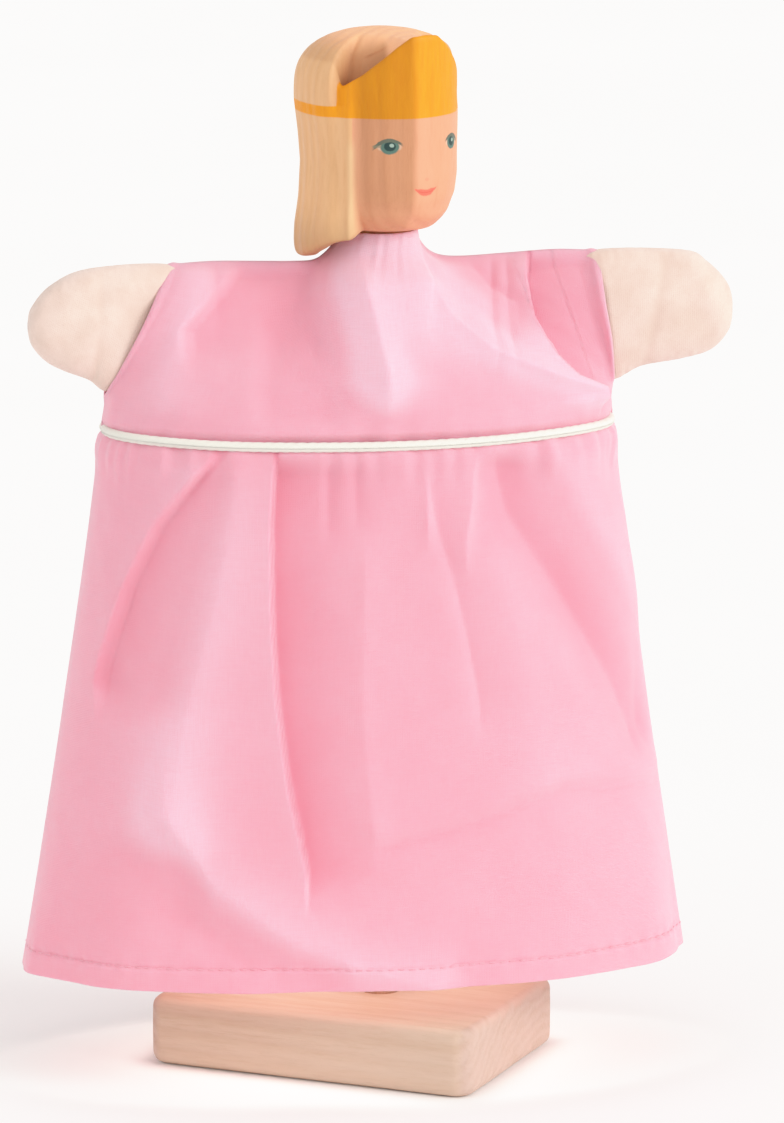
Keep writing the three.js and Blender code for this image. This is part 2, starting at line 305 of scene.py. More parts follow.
def cotton(name, base, deep, pale, pitch=0.5, fuzz=0.25):
    """Plain-weave cotton. The fold attribute runs from -1 in the valleys to 1 on the ridges; from it the colour gets
    painted shade in the valleys and painted light on the ridges.
    """
    f = Finish(name, Sheen_Weight=fuzz, Sheen_Roughness=0.6, Specular_IOR_Level=0.12,
               Subsurface_Weight=0.5, Subsurface_Radius=(1.0, 0.5, 0.55), Subsurface_Scale=0.003)
    uv = f.uv("weave")
    threads = weave(f, uv, pitch)
    slub = f.noise(f.mapped(uv, (0.16, 2.2, 1)), 1.0, 3.0, 0.6)
    slub_across = f.noise(f.mapped(uv, (2.2, 0.16, 1)), 1.0, 3.0, 0.6)
    soft = f.noise(f.mapped(uv, (0.035, 0.03, 1)), 1.0, 3.0, 0.55)
    at = f.attribute("fold")
    # painted shade in the fold valleys and painted light on the fold ridges
    tone = f.mix(at.smooth(0.0, -1.0), base, deep)
    tone = f.mix(at.smooth(0.0, 1.0), tone, pale)
    tone = f.mix(soft.smooth(0.3, 0.7, (0.0, 0.16)), tone, pale)
    tone = f.mix(at.smooth(-1.0, -2.0), tone, (0.62, 0.185, 0.255))  # painted shade on the steep side of a sharp fold
    tone = f.mix((slub + slub_across).smooth(0.75, 1.3, (0.0, 0.2)), tone, deep)
    tone = f.mix(threads.smooth(0.0, 1.0, (0.13, 0.0)), tone, deep)
    f.colour(tone)
    f.rough(slub.smooth(0.2, 0.8, (0.82, 0.95)))
    f.bump((0.16, soft), (0.03, slub + slub_across), (0.05, threads))
    return f.material


def flannel(name, base, deep):
    """Brushed cream cotton with a nap, a faint weave and painted shade in the hollows."""
    f = Finish(name, Sheen_Weight=0.35, Sheen_Roughness=0.7, Specular_IOR_Level=0.1)
    uv = f.uv("weave")
    nap = f.noise(f.mapped(uv, (1.0, 1.0, 1)), 1.6, 5.0, 0.7)
    patch = f.noise(f.mapped(uv, (0.09, 0.09, 1)), 1.0, 4.0, 0.6)
    threads = weave(f, uv, 0.6)
    tone = f.mix(patch.smooth(0.35, 0.68, (0.0, 0.75)), base, deep)
    tone = f.mix(nap.smooth(0.3, 0.75, (0.22, 0.0)), tone, deep)
    # painted shade in the hollows of the wrinkles
    tone = f.mix(f.attribute("fold").smooth(0.0, -1.0, (0.0, 0.8)), tone, deep)
    f.colour(tone)
    f.rough(nap.smooth(0.2, 0.8, (0.88, 0.98)))
    f.bump((0.35, patch), (0.10, nap), (0.05, threads))
    return f.material


def grain(f, place, axis_from, ring, stretch):
    """Growth rings about a far axis, drawn out along the wood, with fine pores."""
    x, y, z = f.parts(place)
    slow = f.noise(f.mapped(place, stretch), 1.0, 2.0, 0.5)
    away = ((y - axis_from[0]).square() + (z - axis_from[1]).square()).op("SQRT") + slow * (1.6 * ring)
    rings = (away * (2 * math.pi / ring)).op("SINE")
    fine = f.noise(f.mapped(place, tuple(8.0 * s for s in stretch)), 1.0, 4.0, 0.65)
    return rings, fine, slow


BLOCK_TURN = math.radians(-30.5)


def block_wood():
    f = Finish("stand_wood", Specular_IOR_Level=0.28)
    place = f.mapped(f.place(), turn=(0, 0, -BLOCK_TURN))
    rings, fine, slow = grain(f, place, (23.0, -46.0), 3.4, (0.012, 0.11, 0.11))
    pores = f.noise(f.mapped(place, (0.30, 3.2, 3.2)), 1.0, 3.0, 0.6)
    tone = f.mix(rings.smooth(-0.9, 1.0, (0.0, 0.34)), (0.640, 0.448, 0.338), (0.550, 0.355, 0.245))
    tone = f.mix(fine.smooth(0.42, 0.75, (0.0, 0.40)), tone, (0.500, 0.310, 0.210))
    tone = f.mix(pores.smooth(0.60, 0.80, (0.0, 0.30)), tone, (0.370, 0.225, 0.145))
    tone = f.mix(slow.smooth(0.35, 0.7, (0.0, 0.35)), tone, (0.665, 0.478, 0.380))
    tone = f.mix(f.attribute("end"), tone, f.mix(1.0, tone, (0.89, 0.88, 0.96), "MULTIPLY"))
    tone = f.mix(f.attribute("wear").smooth(0.0, 1.0, (0.0, 0.35)), tone, (0.700, 0.520, 0.430))
    f.colour(tone)
    f.rough(pores.smooth(0.3, 0.8, (0.52, 0.72)))
    f.bump((0.10, rings), (0.16, fine), (0.08, pores))
    return f.material


def dowel_wood():
    f = Finish("dowel_wood", Specular_IOR_Level=0.28)
    place = f.mapped(f.place(), turn=(0, math.pi / 2, 0))
    rings, fine, slow = grain(f, place, (9.0, 14.0), 2.2, (0.02, 0.3, 0.3))
    tone = f.mix(rings.smooth(-1.0, 1.0, (0.0, 0.5)), (0.700, 0.480, 0.330), (0.560, 0.360, 0.230))
    tone = f.mix(fine.smooth(0.4, 0.75, (0.0, 0.4)), tone, (0.500, 0.310, 0.190))
    f.colour(tone)
    f.rough(fine.smooth(0.3, 0.7, (0.5, 0.7)))
    f.bump((0.08, rings), (0.12, fine))
    return f.material


EYE_ALONG = 11.0  # from the face's midline, along the cheek
EYE_Z = 268.6
MOUTH_Z = 255.2
NOSE_Z = 259.0
UV_SCALE = 0.01  # the face map holds hundredths of a millimetre-unit, to stay near 0 to 1
UV_FROM = 240.0


def head_wood():
    """Carved limewood: bare on the face, stained on the hair, with a painted crown, eyes and mouth."""
    f = Finish("head_wood", Specular_IOR_Level=0.25)
    place = f.mapped(f.place(), turn=(0, math.pi / 2, 0))
    rings, fine, slow = grain(f, place, (26.0, 38.0), 4.2, (0.014, 0.10, 0.10))
    pores = f.noise(f.mapped(place, (0.25, 2.6, 2.6)), 1.0, 3.0, 0.6)

    skin = f.mix(rings.smooth(-1.0, 1.0, (0.0, 0.22)), (0.745, 0.325, 0.190), (0.660, 0.270, 0.142))
    skin = f.mix(fine.smooth(0.45, 0.75, (0.0, 0.30)), skin, (0.560, 0.230, 0.120))
    locks = f.mix(rings.smooth(-1.0, 1.0, (0.0, 0.34)), (0.735, 0.404, 0.204), (0.640, 0.324, 0.147))
    locks = f.mix(fine.smooth(0.42, 0.75, (0.0, 0.36)), locks, (0.565, 0.298, 0.133))
    tone = f.mix(f.attribute("hair").smooth(0.35, 0.65), skin, locks)
    # painted highlight along the hair's front edge
    tone = f.mix(f.attribute("hair_edge_highlight"), tone, (0.760, 0.470, 0.250))
    # painted light and a painted pink reflection on the top of the head
    tone = f.mix(f.attribute("top"), tone, (0.930, 0.450, 0.240))
    # painted shadow in the groove behind the crown's upper edge
    tone = f.mix(f.attribute("crown_groove_shade"), tone, (0.430, 0.190, 0.085))
    # painted shade, darker towards the bottom of the hair and on its underside
    tone = f.mix(f.attribute("underside_shade"), tone, (0.420, 0.240, 0.120))

    # The crown is thin yellow paint that follows a line cut round the head.
    edge = f.attribute("crown") + (pores - 0.5) * 0.25
    paint = f.mix(fine.smooth(0.3, 0.75, (0.0, 0.5)), (0.800, 0.278, 0.004), (0.700, 0.212, 0.003))
    tone = f.mix(edge.smooth(-0.16, 0.16), tone, paint)

    # painted shade: a band down the left of the face is darkened, over the crown's thin paint as well
    tone = f.mix(f.attribute("left_face_shade"), tone, f.mix(1.0, tone, (0.66, 0.67, 0.58), "MULTIPLY"))

    # The face's own map: along the cheek and up, in millimetres.
    across, up, _ = f.parts(f.uv("face"))
    s = across * (1 / UV_SCALE)
    z = up * (1 / UV_SCALE) + UV_FROM
    wobble = (f.noise(place, 0.9, 2.0) - 0.5) * 0.35
    s = s + wobble
    z = z - wobble
    on_face = f.attribute("hair").smooth(0.6, 0.4)
    for sign in (-1, 1):
        x = (s - sign * EYE_ALONG) * float(sign)  # positive is outwards
        y = z - EYE_Z
        white = ((x - 0.2) / 3.6).square() + (y / 1.6).square()
        tone = f.mix(white.smooth(1.15, 0.75, (0.0, 0.35)) * on_face, tone, (0.720, 0.620, 0.500))
        iris = (x / 2.65).square() + ((y + 0.05) / 2.1).square()
        tone = f.mix(iris.smooth(1.25, 0.80) * on_face, tone, (0.080, 0.150, 0.122))
        pupil = (x / 1.6).square() + ((y - 0.1) / 1.3).square()
        tone = f.mix(pupil.smooth(1.35, 0.8) * on_face, tone, (0.018, 0.045, 0.042))
        glint = ((x * float(sign) - 0.55) / 0.65).square() + ((y - 0.35) / 0.55).square()
        tone = f.mix(glint.smooth(1.3, 0.5, (0.0, 0.65)) * on_face, tone, (0.420, 0.560, 0.470))
        # upper lid: a dark stroke arched over the eye, thinning towards its outer corner
        arch = y - (1.80 - x.square() * 0.105)
        reach = (x - 0.6).op("ABSOLUTE").smooth(4.7, 3.4)
        thick = x.smooth(-3.0, 2.5, (0.42, 0.62))
        lid = (arch.op("ABSOLUTE") / thick).smooth(1.25, 0.65) * reach * on_face
        tone = f.mix(lid, tone, (0.105, 0.120, 0.088))
        corner = ((x - 3.7) / 1.5).square() + ((y - 0.0) / 0.42).square()
        tone = f.mix(corner.smooth(1.2, 0.4, (0.0, 0.7)) * on_face, tone, (0.200, 0.175, 0.110))
    smile = z - (MOUTH_Z + s.square() * 0.085)
    full = s.op("ABSOLUTE").smooth(4.0, 1.4)
    lips = (smile.op("ABSOLUTE") / (full * 0.72 + 0.22)).smooth(1.25, 0.70) * s.op("ABSOLUTE").smooth(4.2, 3.4)
    tone = f.mix(lips * on_face * 0.92, tone, (0.830, 0.130, 0.090))
    tone = f.mix((smile.op("ABSOLUTE") / 0.16).smooth(1.4, 0.4, (0.0, 0.5)) * s.op("ABSOLUTE").smooth(3.0, 2.2)
                 * on_face, tone, (0.560, 0.070, 0.050))
    nose = (s / 0.8).square() + ((z - NOSE_Z) / 0.5).square()
    tone = f.mix(nose.smooth(1.4, 0.3, (0.0, 0.32)) * on_face, tone, (0.720, 0.200, 0.130))
    f.colour(tone)
    f.rough(pores.smooth(0.3, 0.8, (0.48, 0.66)))
    f.bump((0.10, rings), (0.14, fine), (0.05, pores))
    return f.material


def cord_cotton(name, base, deep):
    f = Finish(name, Sheen_Weight=0.3, Sheen_Roughness=0.6, Specular_IOR_Level=0.15)
    uv = f.uv("weave")
    threads = weave(f, f.mapped(uv, (1, 1, 1), (0, 0, math.radians(32))), 0.42)
    nap = f.noise(uv, 2.0, 4.0, 0.7)
    tone = f.mix(threads.smooth(0.0, 1.0, (0.35, 0.0)), base, deep)
    tone = f.mix(nap.smooth(0.4, 0.8, (0.0, 0.3)), tone, deep)
    f.colour(tone)
    f.rough(nap.smooth(0.2, 0.8, (0.8, 0.95)))
    f.bump((0.08, threads), (0.04, nap))
    return f.material


# deep is the cloth's darker threads and also painted shade in the folds' valleys; pale is lighter patches and also
# painted light on the ridges
PINK = cotton("pink_cotton", (0.865, 0.350, 0.440), (0.830, 0.285, 0.370), (0.915, 0.495, 0.605))
# deep here is the flannel's darker patches and nap, and also the painted shade in the hollows
CREAM = flannel("cream_cotton", (0.815, 0.615, 0.535), (0.690, 0.500, 0.415))
WHITE_CORD = cord_cotton("cord_cotton", (0.840, 0.830, 0.750), (0.700, 0.660, 0.560))
PINK_CORD = cord_cotton("tie_cotton", (0.800, 0.390, 0.460), (0.640, 0.250, 0.320))
THREAD = cord_cotton("sewing_thread", (0.870, 0.380, 0.470), (0.830, 0.300, 0.380))
CREAM_THREAD = cord_cotton("cream_thread", (0.800, 0.680, 0.580), (0.640, 0.520, 0.420))
BLOCK_WOOD = block_wood()
DOWEL_WOOD = dowel_wood()
HEAD_WOOD = head_wood()


# ---------------------------------------------------------------- shape helpers
def smooth(t):
    t = np.clip(t, 0, 1)
    return t * t * (3 - 2 * t)


def lerp(a, b, t):
    return a + (b - a) * t


def build(name, verts, faces, material, uv=None, attributes=None, uv_name="weave"):
    """A smooth-shaded mesh object from points in millimetres."""
    mesh = bpy.data.meshes.new(name)
    mesh.from_pydata((np.asarray(verts) * MM).tolist(), [], np.asarray(faces).tolist())
    loops = np.empty(len(mesh.loops), dtype=np.int64)
    mesh.loops.foreach_get("vertex_index", loops)
    if uv is not None:
        layer = mesh.uv_layers.new(name=uv_name)
        layer.data.foreach_set("uv", np.asarray(uv, dtype=np.float32)[loops].ravel())
    for key, values in (attributes or {}).items():
        made = mesh.attributes.new(key, "FLOAT", "POINT")
        made.data.foreach_set("value", np.asarray(values, dtype=np.float32))
    mesh.polygons.foreach_set("use_smooth", np.ones(len(mesh.polygons), dtype=bool))
    mesh.materials.append(material)
    mesh.update()
    obj = bpy.data.objects.new(name, mesh)
    bpy.context.collection.objects.link(obj)
    return obj


def quads(rows, cols, start=0, wrap=False):
    r, c = np.meshgrid(np.arange(rows - 1), np.arange(cols if wrap else cols - 1), indexing="ij")
    nxt = (c + 1) % cols
    a, b, d, e = r * cols + c, r * cols + nxt, (r + 1) * cols + nxt, (r + 1) * cols + c
    return np.stack([a, b, d, e], axis=-1).reshape(-1, 4) + start


def grid_normals(points):
    across = np.gradient(points, axis=1)
    up = np.gradient(points, axis=0)
    n = np.cross(across, up)
    return n / np.maximum(np.linalg.norm(n, axis=2, keepdims=True), 1e-9)


def arc_map(points):
    """Width and height along the cloth, in mm, for the weave."""
    across = np.linalg.norm(np.diff(points, axis=1), axis=2)
    up = np.linalg.norm(np.diff(points, axis=0), axis=2)
    u = np.concatenate([np.zeros((points.shape[0], 1)), np.cumsum(across, axis=1)], axis=1)
    v = np.concatenate([np.zeros((1, points.shape[1])), np.cumsum(up, axis=0)], axis=0)
    u = u - u.mean(axis=1, keepdims=True)
    return np.stack([u, v], axis=-1)


def shell(name, outer, thickness, material, side, fold=None):
    """A closed sheet of cloth: outer is a (rows, columns, 3) grid, side -1 for front, 1 for back."""
    rows, cols, _ = outer.shape
    n = grid_normals(outer)
    if np.sum(n[..., 1]) * side < 0:
        n = -n
    inner = outer - n * np.broadcast_to(thickness, (rows, cols))[..., None]
    count = rows * cols
    front = quads(rows, cols)
    back = front[:, ::-1] + count
    rim = np.concatenate([
        np.arange(cols),
        np.arange(1, rows) * cols + cols - 1,
        (rows - 1) * cols + np.arange(cols - 2, -1, -1),
        np.arange(rows - 2, 0, -1) * cols,
    ])
    nxt = np.roll(rim, -1)
    wall = np.stack([nxt, rim, rim + count, nxt + count], axis=-1)
    faces = np.concatenate([front, back, wall])
    # turn every face outwards
    a, b, d = outer.reshape(-1, 3)[front[0, 0]], outer.reshape(-1, 3)[front[0, 1]], outer.reshape(-1, 3)[front[0, 2]]
    if np.dot(np.cross(b - a, d - a), n.reshape(-1, 3)[front[0, 0]]) < 0:
        faces = faces[:, ::-1]
    uv = arc_map(outer).reshape(-1, 2)
    values = np.zeros(count) if fold is None else np.asarray(fold).reshape(-1)
    return build(name, np.concatenate([outer.reshape(-1, 3), inner.reshape(-1, 3)]), faces, material,
                 np.concatenate([uv, uv]), {"fold": np.concatenate([values, values])})


def fold(x, z, path, height, left, right, ends=(14, 14), power=1.6, level=False):
    """Height of one fold at the points x, z. path runs down the cloth; with level, across it."""
    path = np.asarray(path, dtype=float)
    if level:
        x, z, path = z, x, path[:, ::-1]
    path = path[np.argsort(path[:, 1])]
    off = x - np.interp(z, path[:, 1], path[:, 0])
    shape = np.exp(-np.abs(off / np.where(off < 0, left, right)) ** power)
    low, high = path[0, 1], path[-1, 1]
    return height * shape * smooth((high + ends[1] - z) / ends[1]) * smooth((z - low + ends[0]) / ends[0])


def pleat(x, z, path, depth, left, right, crisp, ends=(14, 14), lip=0.18):
    """A sharp fold edge: cloth on its left laps over the cloth on its right, which rises away again."""
    path = np.asarray(path, dtype=float)
    path = path[np.argsort(path[:, 1])]
    off = x - np.interp(z, path[:, 1], path[:, 0])
    past = smooth(off / (2 * crisp) + 0.5)
    shape = lip * np.exp(-np.abs(off / left) ** 1.4) * (1 - past) - np.exp(-np.abs(off / right) ** 1.25) * past
    low, high = path[0, 1], path[-1, 1]
    return depth * shape * smooth((high + ends[1] - z) / ends[1]) * smooth((z - low + ends[0]) / ends[0])


def pleat_edge(x, z, path, crisp, ends=(6, 6)):
    """One on the short steep side of a sharp fold, none elsewhere."""
    path = np.asarray(path, dtype=float)
    path = path[np.argsort(path[:, 1])]
    off = x - np.interp(z, path[:, 1], path[:, 0])
    low, high = path[0, 1], path[-1, 1]
    along = smooth((high + ends[1] - z) / ends[1]) * smooth((z - low + ends[0]) / ends[0])
    return np.exp(-((off - 0.2 * crisp) / (1.5 * crisp + 0.25)) ** 4) * along


def ripple(t, seed, waves):
    """A smooth uneven line: a few sines of fixed phase."""
    rng = np.random.default_rng(seed)
    total = np.zeros_like(t)
    for k in range(waves[0], waves[1] + 1):
        total = total + rng.uniform(0.4, 1.0) / math.sqrt(k) * np.sin(2 * math.pi * k * t + rng.uniform(0, 6.28))
    return total / max(1.0, np.abs(total).max())


def spline(points, count):
    """Evenly spaced points on a smooth curve through the given ones."""
    p = np.asarray(points, dtype=float)
    padded = np.vstack([2 * p[0] - p[1], p, 2 * p[-1] - p[-2]])
    out = []
    for i in range(len(p) - 1):
        a, b, c, d = padded[i:i + 4]
        t = np.linspace(0, 1, 40, endpoint=(i == len(p) - 2))[:, None]
        out.append(0.5 * (2 * b + (c - a) * t + (2 * a - 5 * b + 4 * c - d) * t**2 + (3 * b - a - 3 * c + d) * t**3))
    out = np.vstack(out)
    s = np.concatenate([[0], np.cumsum(np.linalg.norm(np.diff(out, axis=0), axis=1))])
    at = np.linspace(0, s[-1], count)
    return np.stack([np.interp(at, s, out[:, k]) for k in range(out.shape[1])], axis=-1)


def tube(name, centre, radius, material, around=16, closed=True, plies=0, twist=0.0, lobe=0.0):
    """A round or twisted cord along centre, in mm."""
    centre = np.asarray(centre, dtype=float)
    ahead = np.roll(centre, -1, axis=0) - np.roll(centre, 1, axis=0)
    if not closed:
        ahead = np.gradient(centre, axis=0)
    ahead /= np.linalg.norm(ahead, axis=1, keepdims=True)
    up = np.array([0, 0, 1.0])
    out = np.cross(ahead, up)
    out /= np.maximum(np.linalg.norm(out, axis=1, keepdims=True), 1e-9)
    top = np.cross(out, ahead)
    step = np.linalg.norm(np.diff(np.vstack([centre, centre[:1]]), axis=0), axis=1)
    s = np.concatenate([[0], np.cumsum(step)])[:-1]
    phi = np.linspace(0, 2 * math.pi, around, endpoint=False)
    r = np.full((len(centre), around), float(radius))
    if plies:
        turns = round(s[-1] / twist) if closed else s[-1] / twist
        spin = 2 * math.pi * turns * s / (s[-1] + step[-1] if closed else s[-1])
        r = r * (1 - lobe + lobe * np.abs(np.cos(plies / 2 * (phi[None, :] - spin[:, None]))))
    ring = (out[:, None] * np.cos(phi)[None, :, None] + top[:, None] * np.sin(phi)[None, :, None])
    points = centre[:, None] + ring * r[..., None]
    faces = quads(len(centre) + (1 if closed else 0), around, wrap=True)
    verts = points.reshape(-1, 3)
    if closed:
        faces = faces % len(verts)
    uv = np.stack(np.meshgrid(s, phi * radius, indexing="ij"), axis=-1).reshape(-1, 2)
    if not closed:
        faces = np.concatenate([faces])
        caps = [list(range(around))[::1], list(range(len(verts) - around, len(verts)))[::-1]]
        obj = build(name, verts, faces, material, uv)
        bm = bmesh.new()
        bm.from_mesh(obj.data)
        bm.verts.ensure_lookup_table()
        for cap in caps:
            bm.faces.new([bm.verts[i] for i in cap])
        bmesh.ops.recalc_face_normals(bm, faces=bm.faces)
        bm.to_mesh(obj.data)
        bm.free()
        return obj
    obj = build(name, verts, faces, material, uv)
    bm = bmesh.new()
    bm.from_mesh(obj.data)
    bmesh.ops.recalc_face_normals(bm, faces=bm.faces)
    bm.to_mesh(obj.data)
    bm.free()
    return obj


def stitches(name, path, outward, material, length=1.9, gap=1.1, radius=0.22):
    """A row of sewn stitches lying on a surface: one small capped bead of thread after another."""
    path = np.asarray(path, dtype=float)
    s = np.concatenate([[0], np.cumsum(np.linalg.norm(np.diff(path, axis=0), axis=1))])
    verts, faces = [], []
    around, along = 6, 5
    start = gap
    while start + length < s[-1]:
        at = np.linspace(start, start + length, along)
        mid = np.stack([np.interp(at, s, path[:, k]) for k in range(3)], axis=-1)
        out = np.stack([np.interp(at, s, outward[:, k]) for k in range(3)], axis=-1)
        ahead = np.gradient(mid, axis=0)
        ahead /= np.linalg.norm(ahead, axis=1, keepdims=True)
        wide = np.cross(out, ahead)
        swell = np.sin(np.linspace(0.18, 0.82, along) * math.pi)
        base = len(verts)
        for i in range(along):
            for k in range(around):
                t = 2 * math.pi * k / around
                verts.append(mid[i] + radius * swell[i] * (wide[i] * math.cos(t) + out[i] * (0.35 + math.sin(t))))
        for i in range(along - 1):
            for k in range(around):
                a, b = base + i * around + k, base + i * around + (k + 1) % around
                faces.append([a, b, b + around, a + around])
        for first in (base, base + (along - 1) * around):
            for k in range(1, around - 1, 2):
                faces.append([first, first + k, first + k + 1, first + (k + 2) % around])
        start += length + gap
    verts = np.array(verts)
    obj = build(name, verts, faces, material, verts[:, [0, 2]])
    bm = bmesh.new()
    bm.from_mesh(obj.data)
    bmesh.ops.recalc_face_normals(bm, faces=bm.faces)
    bm.to_mesh(obj.data)
    bm.free()
    return obj


# ---------------------------------------------------------------- stand
BLOCK = (100.0, 68.0, 20.0)
BLOCK_SHIFT = 8.7
BLOCK_ROUND = 3.0
BLOCK_CORNER = 5.5
SOCKET_RADIUS = 5.3
SOCKET_FLOOR = 6.0
PEG_RADIUS = 5.0
PEG_TOP = 272.6


def rounded_box(name, size, radius, material):
    """A block with rounded edges and slightly uneven faces, as sanded by hand."""
    bm = bmesh.new()
    bmesh.ops.create_cube(bm, size=1)
    for v in bm.verts:
        v.co.x *= size[0]
        v.co.y *= size[1]
        v.co.z *= size[2]
    upright = [e for e in bm.edges if abs(e.verts[0].co.z - e.verts[1].co.z) > 1]
    bmesh.ops.bevel(bm, geom=upright, offset=BLOCK_CORNER, segments=7, profile=0.5, affect="EDGES")
    level = [e for e in bm.edges if abs(e.verts[0].co.z - e.verts[1].co.z) < 0.1]
    bmesh.ops.bevel(bm, geom=level, offset=radius, segments=5, profile=0.5, affect="EDGES")
    long_edges = [e for e in bm.edges if e.calc_length() > 6]
    bmesh.ops.subdivide_edges(bm, edges=long_edges, cuts=15, use_grid_fill=True)
    points = np.array([v.co[:] for v in bm.verts])
    half = np.array(size) / 2
    edge = np.sort(half - np.abs(points), axis=1)
    wear = smooth(1 - edge[:, 1] / 3.0) * smooth(1 - edge[:, 0] / 2.0)
    wobble = 0.10 * np.sin(points[:, 0] * 0.21 + 1.0) * np.sin(points[:, 1] * 0.17 + 0.4)
    points = points * (1 + (wobble * 0.01)[:, None])
    points[:, 2] += 0.06 * np.sin(points[:, 0] * 0.13 + points[:, 1] * 0.09) * (points[:, 2] > 0)
    corner = np.linalg.norm(np.maximum(np.abs(points) - half + 9, 0), axis=1)
    points -= np.sign(points) * (0.045 * np.maximum(corner - 9.4, 0))[:, None]
    end = smooth((np.abs(points[:, 0]) - half[0] + 4.5) / 3.0)
    turn = np.array([[math.cos(BLOCK_TURN), math.sin(BLOCK_TURN)], [-math.sin(BLOCK_TURN), math.cos(BLOCK_TURN)]])
    points[:, 0] -= BLOCK_SHIFT
    points[:, :2] = points[:, :2] @ turn
    points[:, 2] += half[2] - points[:, 2].min() - half[2]
    faces = [[v.index for v in f.verts] for f in bm.faces]
    bm.free()
    mesh = bpy.data.meshes.new(name)
    mesh.from_pydata((points * MM).tolist(), [], faces)
    for key, values in (("wear", wear), ("end", end)):
        made = mesh.attributes.new(key, "FLOAT", "POINT")
        made.data.foreach_set("value", values.astype(np.float32))
    mesh.polygons.foreach_set("use_smooth", np.ones(len(mesh.polygons), dtype=bool))
    mesh.materials.append(material)
    obj = bpy.data.objects.new(name, mesh)
    bpy.context.collection.objects.link(obj)
    return obj


def lathe(name, profile, material, around=64):
    """A closed turned body from an (r, z) outline that starts and ends on the axis."""
    profile = np.asarray(profile, dtype=float)
    t = np.linspace(0, 2 * math.pi, around, endpoint=False)
    inner = profile[1:-1]
    pts = np.stack([
        inner[:, :1] * np.cos(t), inner[:, :1] * np.sin(t), np.repeat(inner[:, 1:], around, axis=1),
    ], axis=-1).reshape(-1, 3)
    faces = quads(len(inner), around, wrap=True).tolist()
    verts = np.vstack([pts, [[0, 0, profile[0, 1]], [0, 0, profile[-1, 1]]]])
    bottom, top = len(verts) - 2, len(verts) - 1
    last = (len(inner) - 1) * around
    for k in range(around):
        faces.append([bottom, (k + 1) % around, k])
        faces.append([top, last + k, last + (k + 1) % around])
    return build_mixed(name, verts, faces, material)


def build_mixed(name, verts, faces, material):
    mesh = bpy.data.meshes.new(name)
    mesh.from_pydata((np.asarray(verts) * MM).tolist(), [], faces)
    mesh.polygons.foreach_set("use_smooth", np.ones(len(mesh.polygons), dtype=bool))
    mesh.materials.append(material)
    obj = bpy.data.objects.new(name, mesh)
    bpy.context.collection.objects.link(obj)
    return obj


def applied(obj):
    """The object with its modifiers made part of its mesh."""
    deps = bpy.context.evaluated_depsgraph_get()
    mesh = bpy.data.meshes.new_from_object(obj.evaluated_get(deps))
    obj.modifiers.clear()
    obj.data = mesh
    return obj


block = rounded_box("block", BLOCK, BLOCK_ROUND, BLOCK_WOOD)
socket = lathe("socket_cutter", [
    (0, SOCKET_FLOOR), (SOCKET_RADIUS, SOCKET_FLOOR), (SOCKET_RADIUS, 19.2), (SOCKET_RADIUS + 0.9, 20.4),
    (SOCKET_RADIUS + 0.9, 24), (0, 24),
], BLOCK_WOOD)
cut = block.modifiers.new("socket", "BOOLEAN")
cut.object = socket
cut.operation = "DIFFERENCE"
cut.solver = "EXACT"
applied(block)
bpy.data.objects.remove(socket)
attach(block, "stand")
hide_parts("stand_base")

z_steps = np.linspace(SOCKET_FLOOR + 1, PEG_TOP - 3.4, 60)
dowel = lathe("dowel", [
    (0, SOCKET_FLOOR + 0.3), (PEG_RADIUS - 0.7, SOCKET_FLOOR + 0.3), (PEG_RADIUS - 0.2, SOCKET_FLOOR + 0.6),
    *[(PEG_RADIUS + 0.05 * math.sin(z * 0.11), z) for z in z_steps],
    *[(PEG_RADIUS * math.cos(a), PEG_TOP - 3.2 + 3.2 * math.sin(a)) for a in np.linspace(0.1, 1.45, 10)],
    (0, PEG_TOP),
], DOWEL_WOOD, 48)
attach(dowel, "peg")
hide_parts("stand_peg")


# ---------------------------------------------------------------- head
HEAD_TURN = math.radians(26)
FACE_RADIUS = 20.0
FACE_FORWARD = 3.5
CROWN_LOW = 276.3
CROWN_BAND = 279.4
CHEEK_RIDGE = 0.9  # the face is carved in two planes that meet just beside its midline

# Half outlines as (radius, height). The face's radii are about its own axis, FACE_FORWARD ahead.
INSIDE = [(0.4, 273), (7.2, 273), (8, 272.2), (8, 229.2), (8.4, 228.6), (8.6, 228.6), (8.9, 229.2), (8.9, 234.5),
          (8.6, 235.1), (8.6, 239.1), (8.9, 239.7), (8.9, 243.3)]
FACE_LINE = [(11.4, 243.45), (12.0, 243.5), (12.6, 243.7), (13.3, 244.1), (14.0, 244.7), (15.4, 246.0), (17.3, 248.3),
             (19.2, 252.8), (20.0, 258.5), (20.05, 266), (20, 272), (20, 276.3), (20, 279.4)]
HAIR_LINE = [(16.6, 243.2), (17.9, 241.6), (18.0, 236.4), (18.8, 235.2), (22.9, 235.0), (23.9, 236.2), (24.2, 239.0),
             (24.0, 244.0), (22.9, 252.0), (22.2, 262), (22.9, 270), (23.6, 276.3), (23.9, 279.4)]


def plate_top(angle):
    """Height of the crown's upper edge, by the angle from the face's midline in degrees."""
    return np.interp(np.abs(angle), [0, 13, 25, 38, 55, 72], [299.4, 299.0, 296.2, 292.6, 288.2, 285.0])


def up_part_of(index, rim):
    return smooth((index - rim) / 0.8)[None, :]


